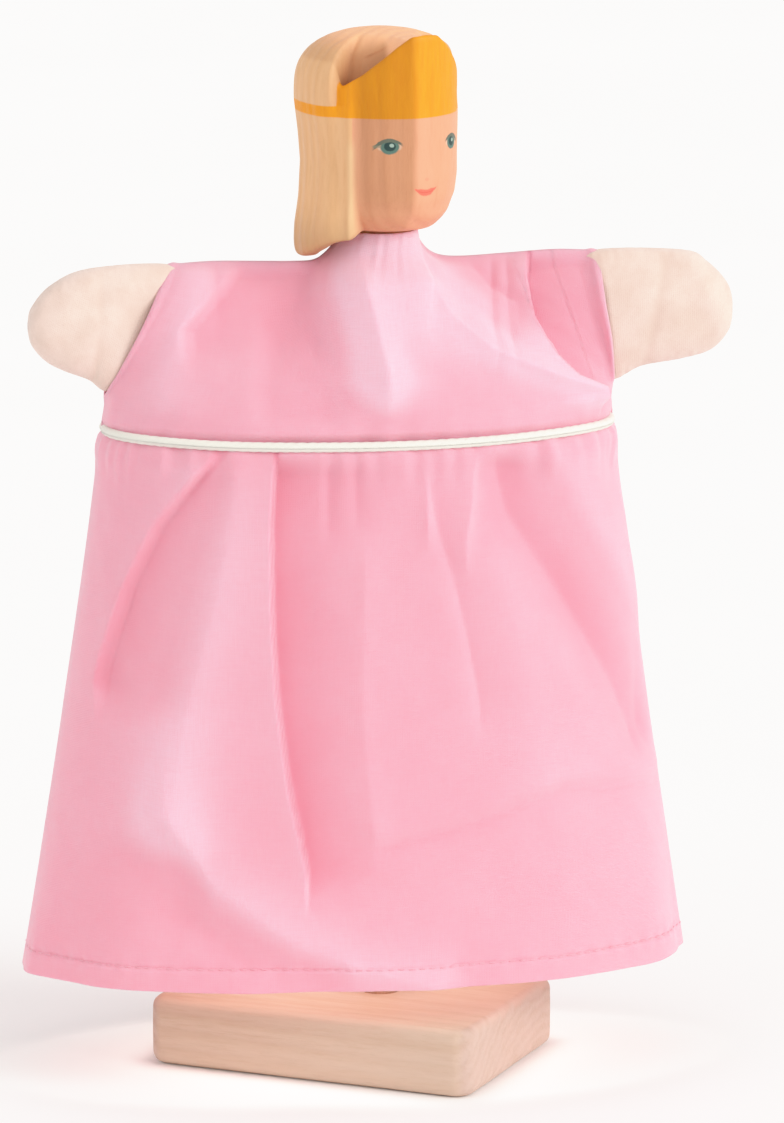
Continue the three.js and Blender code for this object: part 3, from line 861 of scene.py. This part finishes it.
def make_head():
    around, lead = 420, 26
    theta = np.linspace(-180, 180, around, endpoint=False)
    t = np.radians(theta)
    # the face's own angle for a point seen from the bore's axis at this angle
    reach = FACE_FORWARD * np.cos(t) + np.sqrt(FACE_RADIUS**2 - (FACE_FORWARD * np.sin(t)) ** 2)
    own = np.degrees(np.arctan2(reach * np.sin(t), reach * np.cos(t) - FACE_FORWARD))
    hair = smooth((np.abs(own) - 60.0) / 5.0)
    lobe = smooth((np.abs(own) - 75.5) / 4.0)  # above the crown's band the hair starts further back
    top = plate_top(own)
    # the hair's lower edge rises to the cheeks, and on the right it is cut away as far as the nape
    low = 6.6 * smooth((112 - np.abs(theta)) / 56)
    jaw = np.where(theta > 0, smooth((142 - theta) / 18), 0.0)  # here the jaw's rounding goes on round
    thin = smooth((np.abs(own) - 60) / 26) * np.where(theta > 0, smooth((theta - 74) / 40), 1.0)

    columns = []
    for i in range(around):
        a = t[i]

        def from_face(rho, a=a):
            return FACE_FORWARD * math.cos(a) + math.sqrt(max(rho**2 - (FACE_FORWARD * math.sin(a)) ** 2, 0.0))

        front = [(from_face(r), z) for r, z in FACE_LINE]
        zc = top[i]
        dip = 3.4 * float(smooth((abs(own[i]) - 16) / 18))
        notch = min(zc - 0.7 - dip, 297.6)
        front += [
            (from_face(20.1), zc - 5), (from_face(20.1), zc - 0.9), (from_face(19.7), zc - 0.1),
            (from_face(19.0), zc + 0.1), (from_face(18.2), zc - 0.3), (from_face(17.6), lerp(zc, notch, 0.6)),
            (from_face(17.1), notch), (from_face(16.0), notch + 0.3),
            (min(from_face(13.5), 14.5), lerp(notch, 298.2, 0.72)),
            (10.5, 298.2), (5.5, 299.0), (0.15, 299.3),
        ]
        ridge = 0.35 * math.exp(-(((abs(own[i]) - 65) / 3.0) ** 2))
        flush = from_face(FACE_RADIUS + 0.15)
        side = []
        for r, z in HAIR_LINE:
            raised = low[i] * float(smooth((256 - z) / 20)) if z > 235.1 or r > 18.5 else low[i]
            if r > 20:  # flush with the cheek at the hair line, then fuller
                r = lerp(min(flush, r), r, thin[i]) + (ridge if z > 242 else 0)
            side.append((r, z + (raised if z < 256 else 0)))
        # at the back of the head the hair is a little fuller than at the sides
        back = float(smooth((abs(theta[i]) - 90) / 60))
        side += [
            (23.9, 281.5), (23.9, 284), (23.8, 286.2), (23.4, 288.2), (22.7, 290.0), (21.6, 291.8), (20.0, 293.6),
            (17.6, 295.4), (14.6, 296.9), (10.5, 298.2), (5.5, 299.0), (0.15, 299.3),
        ]
        side = [(r + (0.15 * back if r > 18 else 0), z) for r, z in side]
        if theta[i] > 0:
            side[13:] = [(lerp(min(flush, r), r, thin[i]) if r > 20.5 else r, z) for r, z in side[13:]]
        line = list(INSIDE)
        for k, (p, q) in enumerate(zip(front, side)):
            share = lerp(hair[i], lobe[i], float(smooth((k - 10.5) / 3)))
            share *= 1 - jaw[i] * float(smooth((11.5 - k) / 3))
            line.append((lerp(p[0], q[0], share), lerp(p[1], q[1], share)))
        columns.append(line)
    line = np.array(columns)  # (around, anchors, 2)
    anchors = line.shape[1]

    # the same share of samples between anchors in every column, by the mean distance between them
    gaps = np.linalg.norm(np.diff(line, axis=1), axis=2).max(axis=0)
    counts = np.maximum(2, np.round(gaps / 0.55).astype(int))
    counts[:len(INSIDE) - 1] = np.maximum(2, counts[:len(INSIDE) - 1] // 4)
    index = np.concatenate([i + np.arange(c) / c for i, c in enumerate(counts)] + [[anchors - 1]])
    whole = np.minimum(index.astype(int), anchors - 2)
    part = (index - whole)[None, :, None]
    samples = line[:, whole] * (1 - part) + line[:, whole + 1] * part
    fine_from = np.searchsorted(index, len(INSIDE) - 1)
    fixed = samples.copy()
    for _ in range(5):  # soften carved corners
        samples[:, 1:-1] = 0.25 * samples[:, :-2] + 0.5 * samples[:, 1:-1] + 0.25 * samples[:, 2:]
        samples = 0.2 * np.roll(samples, 1, 0) + 0.6 * samples + 0.2 * np.roll(samples, -1, 0)
        samples[:, :fine_from - 2] = fixed[:, :fine_from - 2]
    r, z = samples[..., 0], samples[..., 1]

    # knife work: long shallow facets on the hair, and a slight unevenness everywhere
    outside = (index >= len(INSIDE) + 1)[None, :]
    facet = 0.22 * np.sin(np.radians(theta)[:, None] * 17 + 0.045 * z) * hair[:, None]
    wave = 0.10 * np.sin(0.31 * z + 2.0 * t[:, None]) * np.sin(3.0 * t[:, None] + 0.6)
    lock = 0.55 * np.exp(-((np.degrees(t)[:, None] + 96 + 0.25 * (z - 262)) / 5.5) ** 2) * smooth((z - 238) / 10)
    lock = lock * smooth((292 - z) / 8) * hair[:, None]
    r = r + np.where(outside & (r > 15), facet * smooth((290 - z) / 10) + wave - lock, 0)
    cheek = CHEEK_RIDGE * (np.exp(-np.abs(own + 8.0) / 20) - 0.45)
    on_cheek = (1 - hair[:, None]) * smooth((z - 246) / 6) * smooth((own[:, None] + 62) / 10)
    r = r + np.where(outside & (r > 15), cheek[:, None] * on_cheek, 0)

    x, y = r * np.sin(t)[:, None], -r * np.cos(t)[:, None]
    turn_x = x * math.cos(HEAD_TURN) - y * math.sin(HEAD_TURN)
    turn_y = x * math.sin(HEAD_TURN) + y * math.cos(HEAD_TURN)
    points = np.stack([turn_x, turn_y, z], axis=-1)
    own_s = np.radians(np.degrees(np.arctan2(x, -y - FACE_FORWARD))) * FACE_RADIUS
    face_uv = np.stack([own_s * UV_SCALE, (z - UV_FROM) * UV_SCALE], axis=-1)

    hair_grid = np.repeat(hair[:, None], len(index), axis=1)
    lobe_grid = np.repeat(lobe[:, None], len(index), axis=1)
    own_grid = np.repeat(np.abs(own)[:, None], len(index), axis=1)
    at_rim = len(INSIDE) + len(FACE_LINE) + 4.6  # paint stops just behind the crown's upper edge
    plate = np.minimum((at_rim - index)[None, :] * 0.8, (76.5 - own_grid) * 0.35)
    crown = np.minimum(z - CROWN_LOW, np.maximum(CROWN_BAND - z, plate))
    crown = np.where(index[None, :] < len(INSIDE), -5, crown)
    turned = np.repeat(own[:, None], len(index), axis=1)
    # painted shade down the left of the face
    left_face_shade = smooth((-7.5 - turned) / 7.0) * (1 - hair_grid) * smooth((turned + 66) / 14) * (1 - 0.45 * smooth((256 - z) / 9)) * (1 - up_part_of(index, at_rim))
    # painted highlight along the hair's front edge
    hair_edge_highlight = np.exp(-((own_grid - 63.5) / 3.4) ** 2) * smooth((272 - z) / 6) * smooth((z - 240) / 4) * 0.75
    # painted light on the top of the head
    up_part = smooth((index - at_rim - 1.0)[None, :] / 1.5)
    painted_top_light = np.clip(up_part * (1 - lobe_grid) + lobe_grid * smooth((z - 293.5) / 4), 0, 1)
    # painted shadow in the groove behind the crown's upper edge
    crown_groove_shade = smooth((index[None, :] - at_rim) / 0.6) * smooth((at_rim + 4.6 - index[None, :]) / 1.8)
    crown_groove_shade = crown_groove_shade * smooth((own_grid - 26) / 10) * (1 - 0.7 * lobe_grid) * 0.95
    # painted shade, darker towards the bottom of the hair and on its underside
    under = smooth((252 - z) / 14) * hair_grid * np.where(index[None, :] >= len(INSIDE), 1, 0) * 0.6
    below = (index < len(INSIDE) + 4.5)[None, :] & (index >= len(INSIDE))[None, :]
    under = np.maximum(under, np.where(below, 0.7 * hair_grid, 0))

    rows, cols = points.shape[:2]
    verts = points.reshape(-1, 3)
    faces = quads(rows + 1, cols)
    faces = faces % (rows * cols)
    keys = {"hair": hair_grid, "crown": crown, "hair_edge_highlight": hair_edge_highlight, "top": painted_top_light * 0.85, "crown_groove_shade": crown_groove_shade,
            "underside_shade": under, "left_face_shade": left_face_shade * 0.8}
    obj = build("carved_head", verts, faces, HEAD_WOOD, face_uv.reshape(-1, 2),
                {k: np.broadcast_to(v, (rows, cols)).reshape(-1) for k, v in keys.items()}, "face")
    bm = bmesh.new()
    bm.from_mesh(obj.data)
    bmesh.ops.holes_fill(bm, edges=[e for e in bm.edges if e.is_boundary])
    bmesh.ops.recalc_face_normals(bm, faces=bm.faces)
    bm.to_mesh(obj.data)
    bm.free()
    return obj


carved = make_head()
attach(carved, "head")
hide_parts("head")

TIE_Z = 237.1
TIE_RADIUS = 9.6
ring = np.linspace(0, 2 * math.pi, 240, endpoint=False)
tie = tube("neck_cord", np.stack([TIE_RADIUS * np.cos(ring), TIE_RADIUS * np.sin(ring), np.full(240, TIE_Z)], axis=-1), 0.8,
           PINK_CORD, plies=3, twist=4.0, lobe=0.22)
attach(tie, "neck")
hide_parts("neck_tie")


# ---------------------------------------------------------------- dress
WAIST_Z = 186.5
WAIST = (-6.3, 72.2, 32.0)  # middle, half width, half depth
HEM_Z = 31.0
HEM = (-7.4, 94.7, 41.0)
SEAM_GAP = 0.07
CLOTH = 1.3
HEM_STITCH = 6.4

# Folds as (path down the cloth, height, width to the left, width to the right, sharpness).
SKIRT_FRONT = [
    ([(-44, 186), (-46, 165), (-50, 143), (-59, 108), (-63, 78)], 3.6, 14, 12, 1.4),
    ([(-19, 186), (-19, 168)], -0.8, 2.0, 3, 1.4),
    ([(-11, 186), (-11, 170)], -0.7, 2.0, 3, 1.4),
    ([(-9, 150), (-10, 112), (-7, 74)], 1.6, 9, 6, 1.2),
    ([(9, 188), (9, 166)], 1.5, 2.2, 2.4, 1.2),
    ([(23, 188), (22, 170), (20, 158)], 1.9, 6, 2.2, 1.2),
    ([(28, 186), (34, 164), (50, 140), (67, 113), (74, 98)], -4.8, 9, 13, 1.3),
    ([(61, 186), (65, 173)], -1.3, 4, 5, 1.5),
    ([(44, 186), (52, 170), (66, 146), (82, 118)], 2.2, 9, 12, 1.6),
    ([(9, 178), (12, 162), (17, 146), (21, 128), (24, 112)], -1.5, 2.2, 7, 1.1),
    ([(30, 146), (38, 120), (44, 90)], 1.2, 13, 14, 1.6),
]
SKIRT_FRONT_LEVEL = [
    ([(-64, 82), (-52, 62), (-30, 46), (-9, 37), (8, 33)], 3.0, 8, 12, 1.3),
    ([(-60, 52), (-44, 40), (-26, 34)], -1.6, 8, 8, 1.8),
    ([(-4, 71), (23, 77), (47, 84), (80, 81)], -1.5, 3, 4, 1.2),
    ([(-2, 76), (23, 82), (47, 89), (80, 86)], 0.9, 4, 7, 1.3),
]
# Sharp edges as (path, depth, width to the left, width to the right, half width of the step).
SKIRT_FRONT_PLEATS = [
    ([(-46, 188), (-57, 174), (-66, 162), (-74, 145), (-80, 126), (-82, 118)], 3.6, 9, 22, 1.4),
    ([(-33, 190), (-35, 165), (-35, 137), (-34, 115), (-31, 90), (-26, 66)], 4.4, 9, 20, 0.4),
]
SKIRT_BACK = [
    ([(-58, 186), (-62, 150), (-70, 110)], 3.2, 12, 14, 1.6),
    ([(-44, 150), (-46, 90)], -2.6, 9, 11, 1.5),
    ([(-20, 186), (-20, 168)], -1.0, 2.5, 3, 1.4),
    ([(-12, 184), (-14, 130), (-20, 70)], 3.4, 14, 15, 1.7),
    ([(6, 186), (8, 150), (12, 90)], -4.0, 10, 9, 1.4),
    ([(18, 186), (19, 166)], -0.9, 2.5, 3, 1.4),
    ([(30, 184), (34, 140), (42, 80)], 3.6, 14, 12, 1.6),
    ([(48, 186), (54, 150), (62, 100)], -3.4, 9, 10, 1.4),
]
SKIRT_BACK_PLEATS = [
    ([(-36, 190), (-38, 160), (-42, 110)], 2.6, 9, 14, 2.2),
    ([(26, 190), (28, 160), (34, 120)], 2.4, 9, 14, 2.2),
]
SKIRT_BACK_LEVEL = [
    ([(-60, 62), (-20, 50), (20, 54), (60, 66)], 1.6, 10, 12, 1.6),
]


def ellipse(z, s):
    return lerp(WAIST[0], HEM[0], s), lerp(WAIST[1], HEM[1], s), lerp(WAIST[2], HEM[2], s)


def fold_field(x, z, down, level, pleats=()):
    """The height of all the folds together."""
    total = np.zeros_like(x)
    for path, depth, left, right, crisp in pleats:
        total += pleat(x, z, path, depth, left, right, crisp)
    for path, height, left, right, power in down:
        total += fold(x, z, path, height, left, right, power=power)
    for path, height, left, right, power in level:
        total += fold(x, z, path, height, left, right, power=power, level=True)
    return total


def with_edges(painted_fold_shading, x, z, pleats):
    """The painted fold shading, with painted shade on the sharp folds' own steep sides as well."""
    for path, depth, left, right, crisp in pleats:
        if crisp < 2:
            painted_fold_shading = lerp(painted_fold_shading, -2.0, pleat_edge(x, z, path, crisp) * (0.9 if crisp < 1 else 0.55))
    return painted_fold_shading


def skirt(name, side, down, level, pleats, seed):
    columns = 430
    top = WAIST_Z - 0.2
    rows = np.unique(np.concatenate([
        np.linspace(HEM_Z, HEM_Z + 9, 18), np.linspace(HEM_Z + 9, 172, 76), np.linspace(172, top, 18)]))
    u = np.linspace(0, 1, columns)
    grid_z, grid_u = np.meshgrid(rows, u, indexing="ij")
    s = ((top - grid_z) / (top - HEM_Z)) ** 1.12
    mid, a, b = ellipse(grid_z, s)
    angle = math.pi * (1 - grid_u)
    x = mid + (a + CLOTH) * np.cos(angle)
    y = (b + CLOTH) * np.sin(angle)
    edge = smooth(np.minimum(grid_u, 1 - grid_u) / 0.07)
    folds = fold_field(x, grid_z, down, level, pleats) * edge * smooth((WAIST_Z - 1.5 - grid_z) / 8)
    near_waist = smooth((grid_z - 168) / 18)
    gathers = (0.75 * ripple(grid_u, seed, (9, 24)) + 0.35 * ripple(grid_u, seed + 1, (25, 44))) * near_waist
    # the cloth is drawn in under the cord, and swells just below it
    puff = 1.1 * np.exp(-((grid_z - 180.5) / 4.5) ** 2) - 1.3 * smooth((grid_z - 183.5) / 3)
    swing = 1.5 * ripple(grid_u, seed + 2, (2, 6)) * smooth((80 - grid_z) / 50) * edge
    creases = 0.28 * ripple(grid_u + 0.002 * grid_z, seed + 3, (11, 19)) * ripple(grid_z / 155, seed + 4, (2, 7)) * edge
    hem = 0.55 * smooth((HEM_Z + HEM_STITCH + 0.5 - grid_z) / 0.8)
    groove = -0.45 * np.exp(-((grid_z - HEM_Z - HEM_STITCH) / 0.55) ** 2)
    pucker = 0.16 * np.sin(grid_u * 2 * math.pi * 34 + ripple(grid_u, seed + 5, (3, 7))) * np.exp(
        -((grid_z - HEM_Z - HEM_STITCH) / 2.5) ** 2)
    out = folds + gathers * edge + puff * (0.4 + 0.6 * edge) + swing + creases + (hem + groove + pucker) * edge
    nx, ny = np.cos(angle) / (a + CLOTH), np.sin(angle) / (b + CLOTH)
    size = np.hypot(nx, ny)
    x = x + out * nx / size
    y = np.maximum(y + out * ny / size, 0)
    z = grid_z + 0.5 * ripple(grid_u, seed + 6, (2, 5)) * smooth((HEM_Z + 30 - grid_z) / 30)
    outer = np.stack([x, side * (SEAM_GAP + y), z], axis=-1)
    thick = lerp(1.1, 1.75, smooth((HEM_Z + HEM_STITCH + 1 - grid_z) / 1.5)) * lerp(0.35, 1, edge)
    # painted shade in the valleys and painted light on the ridges, from the folds' height
    painted_fold_shading = with_edges(np.clip(folds / 4.2, -1, 1), x, grid_z, pleats)
    return shell(name, outer, thick, PINK, side, painted_fold_shading), outer


def on_grid(outer, height):
    """The line across a cloth grid at one height."""
    line = np.array([[np.interp(height, outer[:, j, 2], outer[:, j, k]) for k in range(3)]
                     for j in range(outer.shape[1])])
    return line


def outward_of(line, side):
    ahead = np.gradient(line, axis=0)
    out = np.cross(ahead, [0, 0, 1.0])
    out /= np.linalg.norm(out, axis=1, keepdims=True)
    return out * (1 if np.sum(out[:, 1]) * side > 0 else -1)


for name, node, side, down, level, pleats, seed in (
    ("dress_skirt_front", "skirt_front", -1, SKIRT_FRONT, SKIRT_FRONT_LEVEL, SKIRT_FRONT_PLEATS, 11),
    ("dress_skirt_back", "skirt_back", 1, SKIRT_BACK, SKIRT_BACK_LEVEL, SKIRT_BACK_PLEATS, 37),
):
    panel, outer = skirt(name, side, down, level, pleats, seed)
    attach(panel, "torso")
    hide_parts(node)
    line = on_grid(outer, HEM_Z + HEM_STITCH)
    row = stitches("hem_stitches_" + ("front" if side < 0 else "back"), line[4:-4], outward_of(line, side)[4:-4], THREAD)
    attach(row, "torso")

# Hands: the seam's two ends, then points along the upper and lower outlines to the tip.
HANDS = {
    "left": {
        "top": [(-60.3, 233.2), (-82.3, 232.4), (-93, 228), (-98.6, 221.8), (-99.9, 217.2)],
        "bottom": [(-78, 197.5), (-83, 200.8), (-90, 203.6), (-95, 206.4), (-98.8, 210.8), (-99.9, 215.0)],
    },
    "right": {
        "top": [(62.2, 234.6), (87, 234), (94, 230.6), (99.6, 224.6), (101.1, 218.8)],
        "bottom": [(66.6, 197.2), (74.9, 200.9), (86.5, 202.8), (95, 205.2), (99.8, 210.4), (101.1, 216.2)],
    },
}
COLLAR_RADIUS = 10.5
COLLAR_TOP = 242.15

BODICE_FRONT = [
    ([(-6, 240), (-6, 226), (-2, 204)], 6.0, 14, 7, 1.1),
    ([(-20, 238), (-22, 222), (-20, 200)], -2.2, 14, 9, 1.6),
    ([(-47, 236), (-47, 226)], -0.8, 2, 3, 1.4),
    ([(-52, 228), (-58, 214), (-63, 200)], 1.6, 8, 9, 1.6),
    ([(4, 238), (9, 228), (16, 218), (28, 209), (44, 202), (60, 196)], 4.6, 10, 19, 1.1),
    ([(22, 236), (30, 227), (38, 222)], -2.0, 6, 6, 1.3),
    ([(32, 236), (30, 213)], -0.9, 1.8, 1.6, 1.3),
    ([(36, 236), (35, 213)], -0.8, 1.6, 1.8, 1.3),
]
BODICE_FRONT_PLEATS = [
    ([(-37, 240), (-41, 231), (-49, 223), (-56, 216)], 2.6, 9, 30, 2.6),
    ([(-35, 214), (-38, 202), (-38, 192)], 1.2, 12, 24, 4.0),
    ([(43.5, 240), (41.5, 228), (43, 217), (48, 207), (53, 201), (61, 197)], 4.4, 6, 20, 0.5),
]
BODICE_BACK = [
    ([(0, 238), (-2, 224), (-4, 205)], 1.5, 8, 8, 1.6),
    ([(-16, 234), (-24, 220), (-34, 200)], -1.8, 8, 8, 1.5),
    ([(16, 234), (22, 220), (30, 200)], -1.6, 8, 8, 1.5),
    ([(-42, 234), (-46, 222), (-58, 204)], 1.8, 9, 9, 1.6),
    ([(40, 234), (42, 222), (52, 204)], 1.7, 9, 9, 1.6),
    ([(-52, 232), (-52, 222)], -0.8, 3, 3, 1.4),
    ([(50, 232), (50, 220)], -0.8, 3, 3, 1.4),
]


CUFF_RISE = 4.2  # over this height the closed side seam opens into the cuff


def bodice(name, side, down, pleats, seed):
    columns, rows = 230, 96
    u = np.linspace(0, 1, columns)
    v = np.linspace(0, 1, rows)
    low_z = WAIST_Z + 0.2
    angle = math.pi * (1 - u)
    low = np.stack([WAIST[0] + (WAIST[1] + CLOTH) * np.cos(angle), np.full(columns, low_z)], axis=-1)
    shoulder = [(-60.3, 233.2), (-48, 233.9), (-34, 233.6), (-25, 233.4), (-19, 233.7), (-15.4, 236.0), (-12.2, 239.8),
                (-COLLAR_RADIUS, COLLAR_TOP)]
    collar = [(COLLAR_RADIUS * math.cos(math.pi * (1 - i / 8)), COLLAR_TOP) for i in range(1, 8)]
    far = [(COLLAR_RADIUS, COLLAR_TOP), (11.3, 239.0), (13.8, 235.9), (17.5, 234.2), (24, 233.8), (36, 234.4), (50, 235.1),
           (62.2, 234.6)]
    left, middle, right = spline(shoulder, 90), spline([shoulder[-1], *collar, far[0]], 60), spline(far, 90)
    high = spline(np.vstack([left, middle[1:], right[1:]]), columns)
    # the two side edges run up the side of the chest and then along the cuff
    edge_left = spline([(low[0, 0], low_z), (-78.6, 193), (-78.3, 197.3), (-74.6, 204.6), (-68.4, 217), (-60.3, 233.2)], rows)
    edge_right = spline([(low[-1, 0], low_z), (66.6, 192), (66.9, 197.2), (65.6, 209), (63.4, 221), (62.2, 234.6)], rows)
    uu, vv = u[None, :, None], v[:, None, None]
    flat = ((1 - vv) * low[None] + vv * high[None] + (1 - uu) * edge_left[:, None] + uu * edge_right[:, None]
            - ((1 - uu) * (1 - vv) * low[0] + uu * (1 - vv) * low[-1] + (1 - uu) * vv * high[0] + uu * vv * high[-1]))
    x, z = flat[..., 0], flat[..., 1]
    # depth: a cubic curve up each column, from the waist's ellipse to the shoulder or the collar
    edge = np.abs(2 * u - 1) ** 3
    deep = (WAIST[2] + CLOTH) * np.sin(angle)
    over = np.sqrt(np.maximum(COLLAR_RADIUS**2 - high[:, 0] ** 2, 0)) * smooth((high[:, 1] - 231.5) / 6)
    q0, q1 = deep, lerp(deep + 1, 3.4, edge)
    for _ in range(4):
        over[1:-1] = (over[:-2] + 2 * over[1:-1] + over[2:]) / 4
    q2, q3 = lerp(14.0, 17.0, edge), over
    t = v[:, None]
    depth = (1 - t) ** 3 * q0 + 3 * (1 - t) ** 2 * t * q1 + 3 * (1 - t) * t**2 * q2 + t**3 * q3
    inside = smooth(np.minimum(u, 1 - u)[None, :] / 0.05)
    sewn = smooth((194.2 + CUFF_RISE - z) / CUFF_RISE) * (1 - inside)  # below the cuff the side seam is closed
    depth = depth * (1 - sewn)
    shoulders = smooth((1 - v)[:, None] / 0.08) + smooth(over / 6)[None, :]
    shoulders = np.clip(shoulders, 0, 1)
    keep = inside * shoulders
    folds = fold_field(x, z, down, [], pleats) * keep * smooth((z - WAIST_Z - 1.5) / 7)
    drawn_in = lerp(1.0, smooth((237 - z) / 12), np.exp(-(x / 19) ** 4))
    around_neck = smooth((z - 222) / 12) * np.exp(-(x / 17) ** 4)
    drawn = (0.28 + 0.35 * ripple(u[None, :] + 0 * z, seed, (26, 40)) + 0.2 * ripple(u[None, :] + 0 * z, seed + 1, (48, 70)))
    drawn = drawn * around_neck * shoulders
    near_waist = smooth((200 - z) / 12)
    gathers = 0.35 * ripple(u[None, :] + 0 * z, seed + 2, (10, 26)) * near_waist * inside
    draw = -1.2 * smooth((WAIST_Z + 3.4 - z) / 2.6) + 0.5 * np.exp(-((z - WAIST_Z - 6) / 3.5) ** 2)
    creases = 0.25 * ripple(u[None, :] + 0.004 * z, seed + 3, (9, 17)) * ripple((z - 186) / 50, seed + 4, (1, 5)) * keep
    cuff = 0.5 * np.exp(-((np.minimum(u, 1 - u)[None, :] - 0.012) / 0.010) ** 2) * smooth((z - 196) / 4)
    out = folds * drawn_in + drawn + gathers + draw * lerp(0.3, 1, inside) + creases + cuff
    near_corner = (np.abs(np.abs(x) - 14) < 7) & (z > 222)
    base = np.stack([x, side * (SEAM_GAP + depth), z], axis=-1)
    n = grid_normals(base)
    if np.sum(n[..., 1]) * side < 0:
        n = -n
    for _ in range(12):  # eases the corner where the collar meets the shoulder
        n[:, 1:-1] = (n[:, :-2] + 2 * n[:, 1:-1] + n[:, 2:]) / 4
        out[:, 1:-1] = np.where(near_corner[:, 1:-1], (out[:, :-2] + 2 * out[:, 1:-1] + out[:, 2:]) / 4, out[:, 1:-1])
    n = n / np.linalg.norm(n, axis=-1, keepdims=True)
    outer = base + n * out[..., None]
    outer[..., 1] = side * np.maximum(side * outer[..., 1], SEAM_GAP)
    at_seam = sewn * (np.minimum(u, 1 - u)[None, :] < 0.002)
    outer[..., 1] = lerp(outer[..., 1], side * SEAM_GAP, at_seam)
    thick = lerp(0.5, 1, keep) * lerp(1.0, 0.62, smooth((z - 233) / 5) * (np.abs(x) < 14))
    # painted shade in the valleys and painted light on the ridges, from the folds' height
    painted_fold_shading = with_edges(np.clip(folds / 3.0, -1, 1), x, z, pleats)
    return shell(name, outer, thick, PINK, side, painted_fold_shading), outer


for name, node, side, down, pleats, seed in (
    ("dress_bodice_front", "bodice_front", -1, BODICE_FRONT, BODICE_FRONT_PLEATS, 61),
    ("dress_bodice_back", "bodice_back", 1, BODICE_BACK, (), 83),
):
    panel, outer = bodice(name, side, down, pleats, seed)
    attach(panel, "torso")
    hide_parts(node)


def waist_piping():
    t = np.linspace(0, 2 * math.pi, 620, endpoint=False)
    out = CLOTH - 1.7 + 2.15 * np.abs(np.sin(t)) ** 0.6
    sag = -0.75 * np.exp(-((WAIST[0] + WAIST[1] * np.cos(t) + 2) / 42) ** 2) * (np.sin(t) < 0)
    line = np.stack([
        WAIST[0] + (WAIST[1] + out) * np.cos(t), (WAIST[2] + out) * np.sin(t),
        WAIST_Z + sag + 0.22 * ripple(t / (2 * math.pi), 5, (3, 9)),
    ], axis=-1)
    return tube("waist_piping", line, 1.42, WHITE_CORD, around=20, plies=3, twist=9.0, lobe=0.10)


piping = waist_piping()
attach(piping, "torso")
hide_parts("waist_cord")


# ---------------------------------------------------------------- hands
def hand(name, shape, side, seed):
    """One panel of a mitten, from inside the cuff to the tip, full in the middle and sewn at the rim."""
    columns, rows = 92, 78
    tuck = 6.0
    out = math.copysign(1.0, shape["top"][-1][0])
    top, bottom = np.array(shape["top"]), np.array(shape["bottom"])
    inner_top = top[0] - [out * tuck, 5.0]
    inner_bottom = bottom[0] - [out * tuck, -4.5]
    upper = spline([inner_top, *top], columns)
    lower = spline([inner_bottom, *bottom], columns)
    share = np.linspace(0, 1, columns)
    v = 0.5 - 0.5 * np.cos(np.linspace(0, math.pi, rows))
    flat = lower[None] + (upper - lower)[None] * v[:, None, None]
    x, z = flat[..., 0], flat[..., 1]
    across = np.sqrt(np.maximum(0, 1 - (2 * v - 1) ** 2))[:, None]
    along = (5.0 + 2.4 * np.sin(np.minimum(1, share * 1.5) * math.pi / 2))[None, :]
    fade = np.sqrt(np.maximum(0, 1 - np.maximum(0, (share - 0.42) / 0.58) ** 2.4))[None, :]
    depth = along * across * fade + 0.9 * smooth(across * fade / 0.25)
    keep = smooth(across * fade / 0.55)
    wrinkles = (0.40 * ripple(share[None, :] + 0.30 * v[:, None], seed, (1, 4))
                + 0.30 * ripple(v[:, None] - 0.25 * share[None, :], seed + 1, (1, 3))) * keep
    pucker = 0.22 * ripple(share[None, :] * 1.0 + 0 * z, seed + 2, (12, 26)) * smooth(1 - across / 0.8) * smooth(across / 0.1)
    crease = -0.5 * np.exp(-((share[None, :] - 0.34 - 0.16 * v[:, None]) / 0.035) ** 2) * keep
    at_cuff = -2.4 * smooth((0.17 - share) / 0.12)[None, :] * keep
    depth = np.maximum(depth + wrinkles + pucker + crease * 0.6 + at_cuff, 0)
    outer = np.stack([x, side * (SEAM_GAP + depth), z], axis=-1)
    # painted shade in the hollows of the wrinkles and the crease
    painted_fold_shading = np.clip((wrinkles + crease) / 0.9, -1, 1)
    return shell(name, outer, 0.85 * lerp(0.25, 1, keep), CREAM, side, painted_fold_shading), upper, lower


JOINTS = {j["name"]: j for j in frame["joints"]}
for which, seed in (("left", 101), ("right", 131)):
    shape = HANDS[which]
    seam_top, seam_bottom = shape["top"][0], shape["bottom"][0]
    middle = np.array([(seam_top[0] + seam_bottom[0]) / 2, 0, (seam_top[1] + seam_bottom[1]) / 2]) * MM
    for where, side in (("front", -1), ("back", 1)):
        panel, upper, lower = hand(f"mitten_{which}_{where}", shape, side, seed + side)
        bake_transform(panel)
        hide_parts(f"hand_{which}_{where}")

# ---------------------------------------------------------------- floor
def pale_floor():
    f = Finish("floor_paper", Specular_IOR_Level=0.05)
    place = f.place()
    mottle = f.noise(place, 0.004, 3.0)
    f.colour(f.mix(mottle.smooth(0.3, 0.7), (0.955, 0.95, 0.945), (0.97, 0.965, 0.96)))
    f.rough(mottle.smooth(0.0, 1.0, (0.9, 1.0)))
    return f.material


floor = build_mixed("floor", [(-9000, -9000, -0.1), (9000, -9000, -0.1), (9000, 9000, -0.1), (-9000, 9000, -0.1)],
                    [[0, 1, 2, 3]], pale_floor())
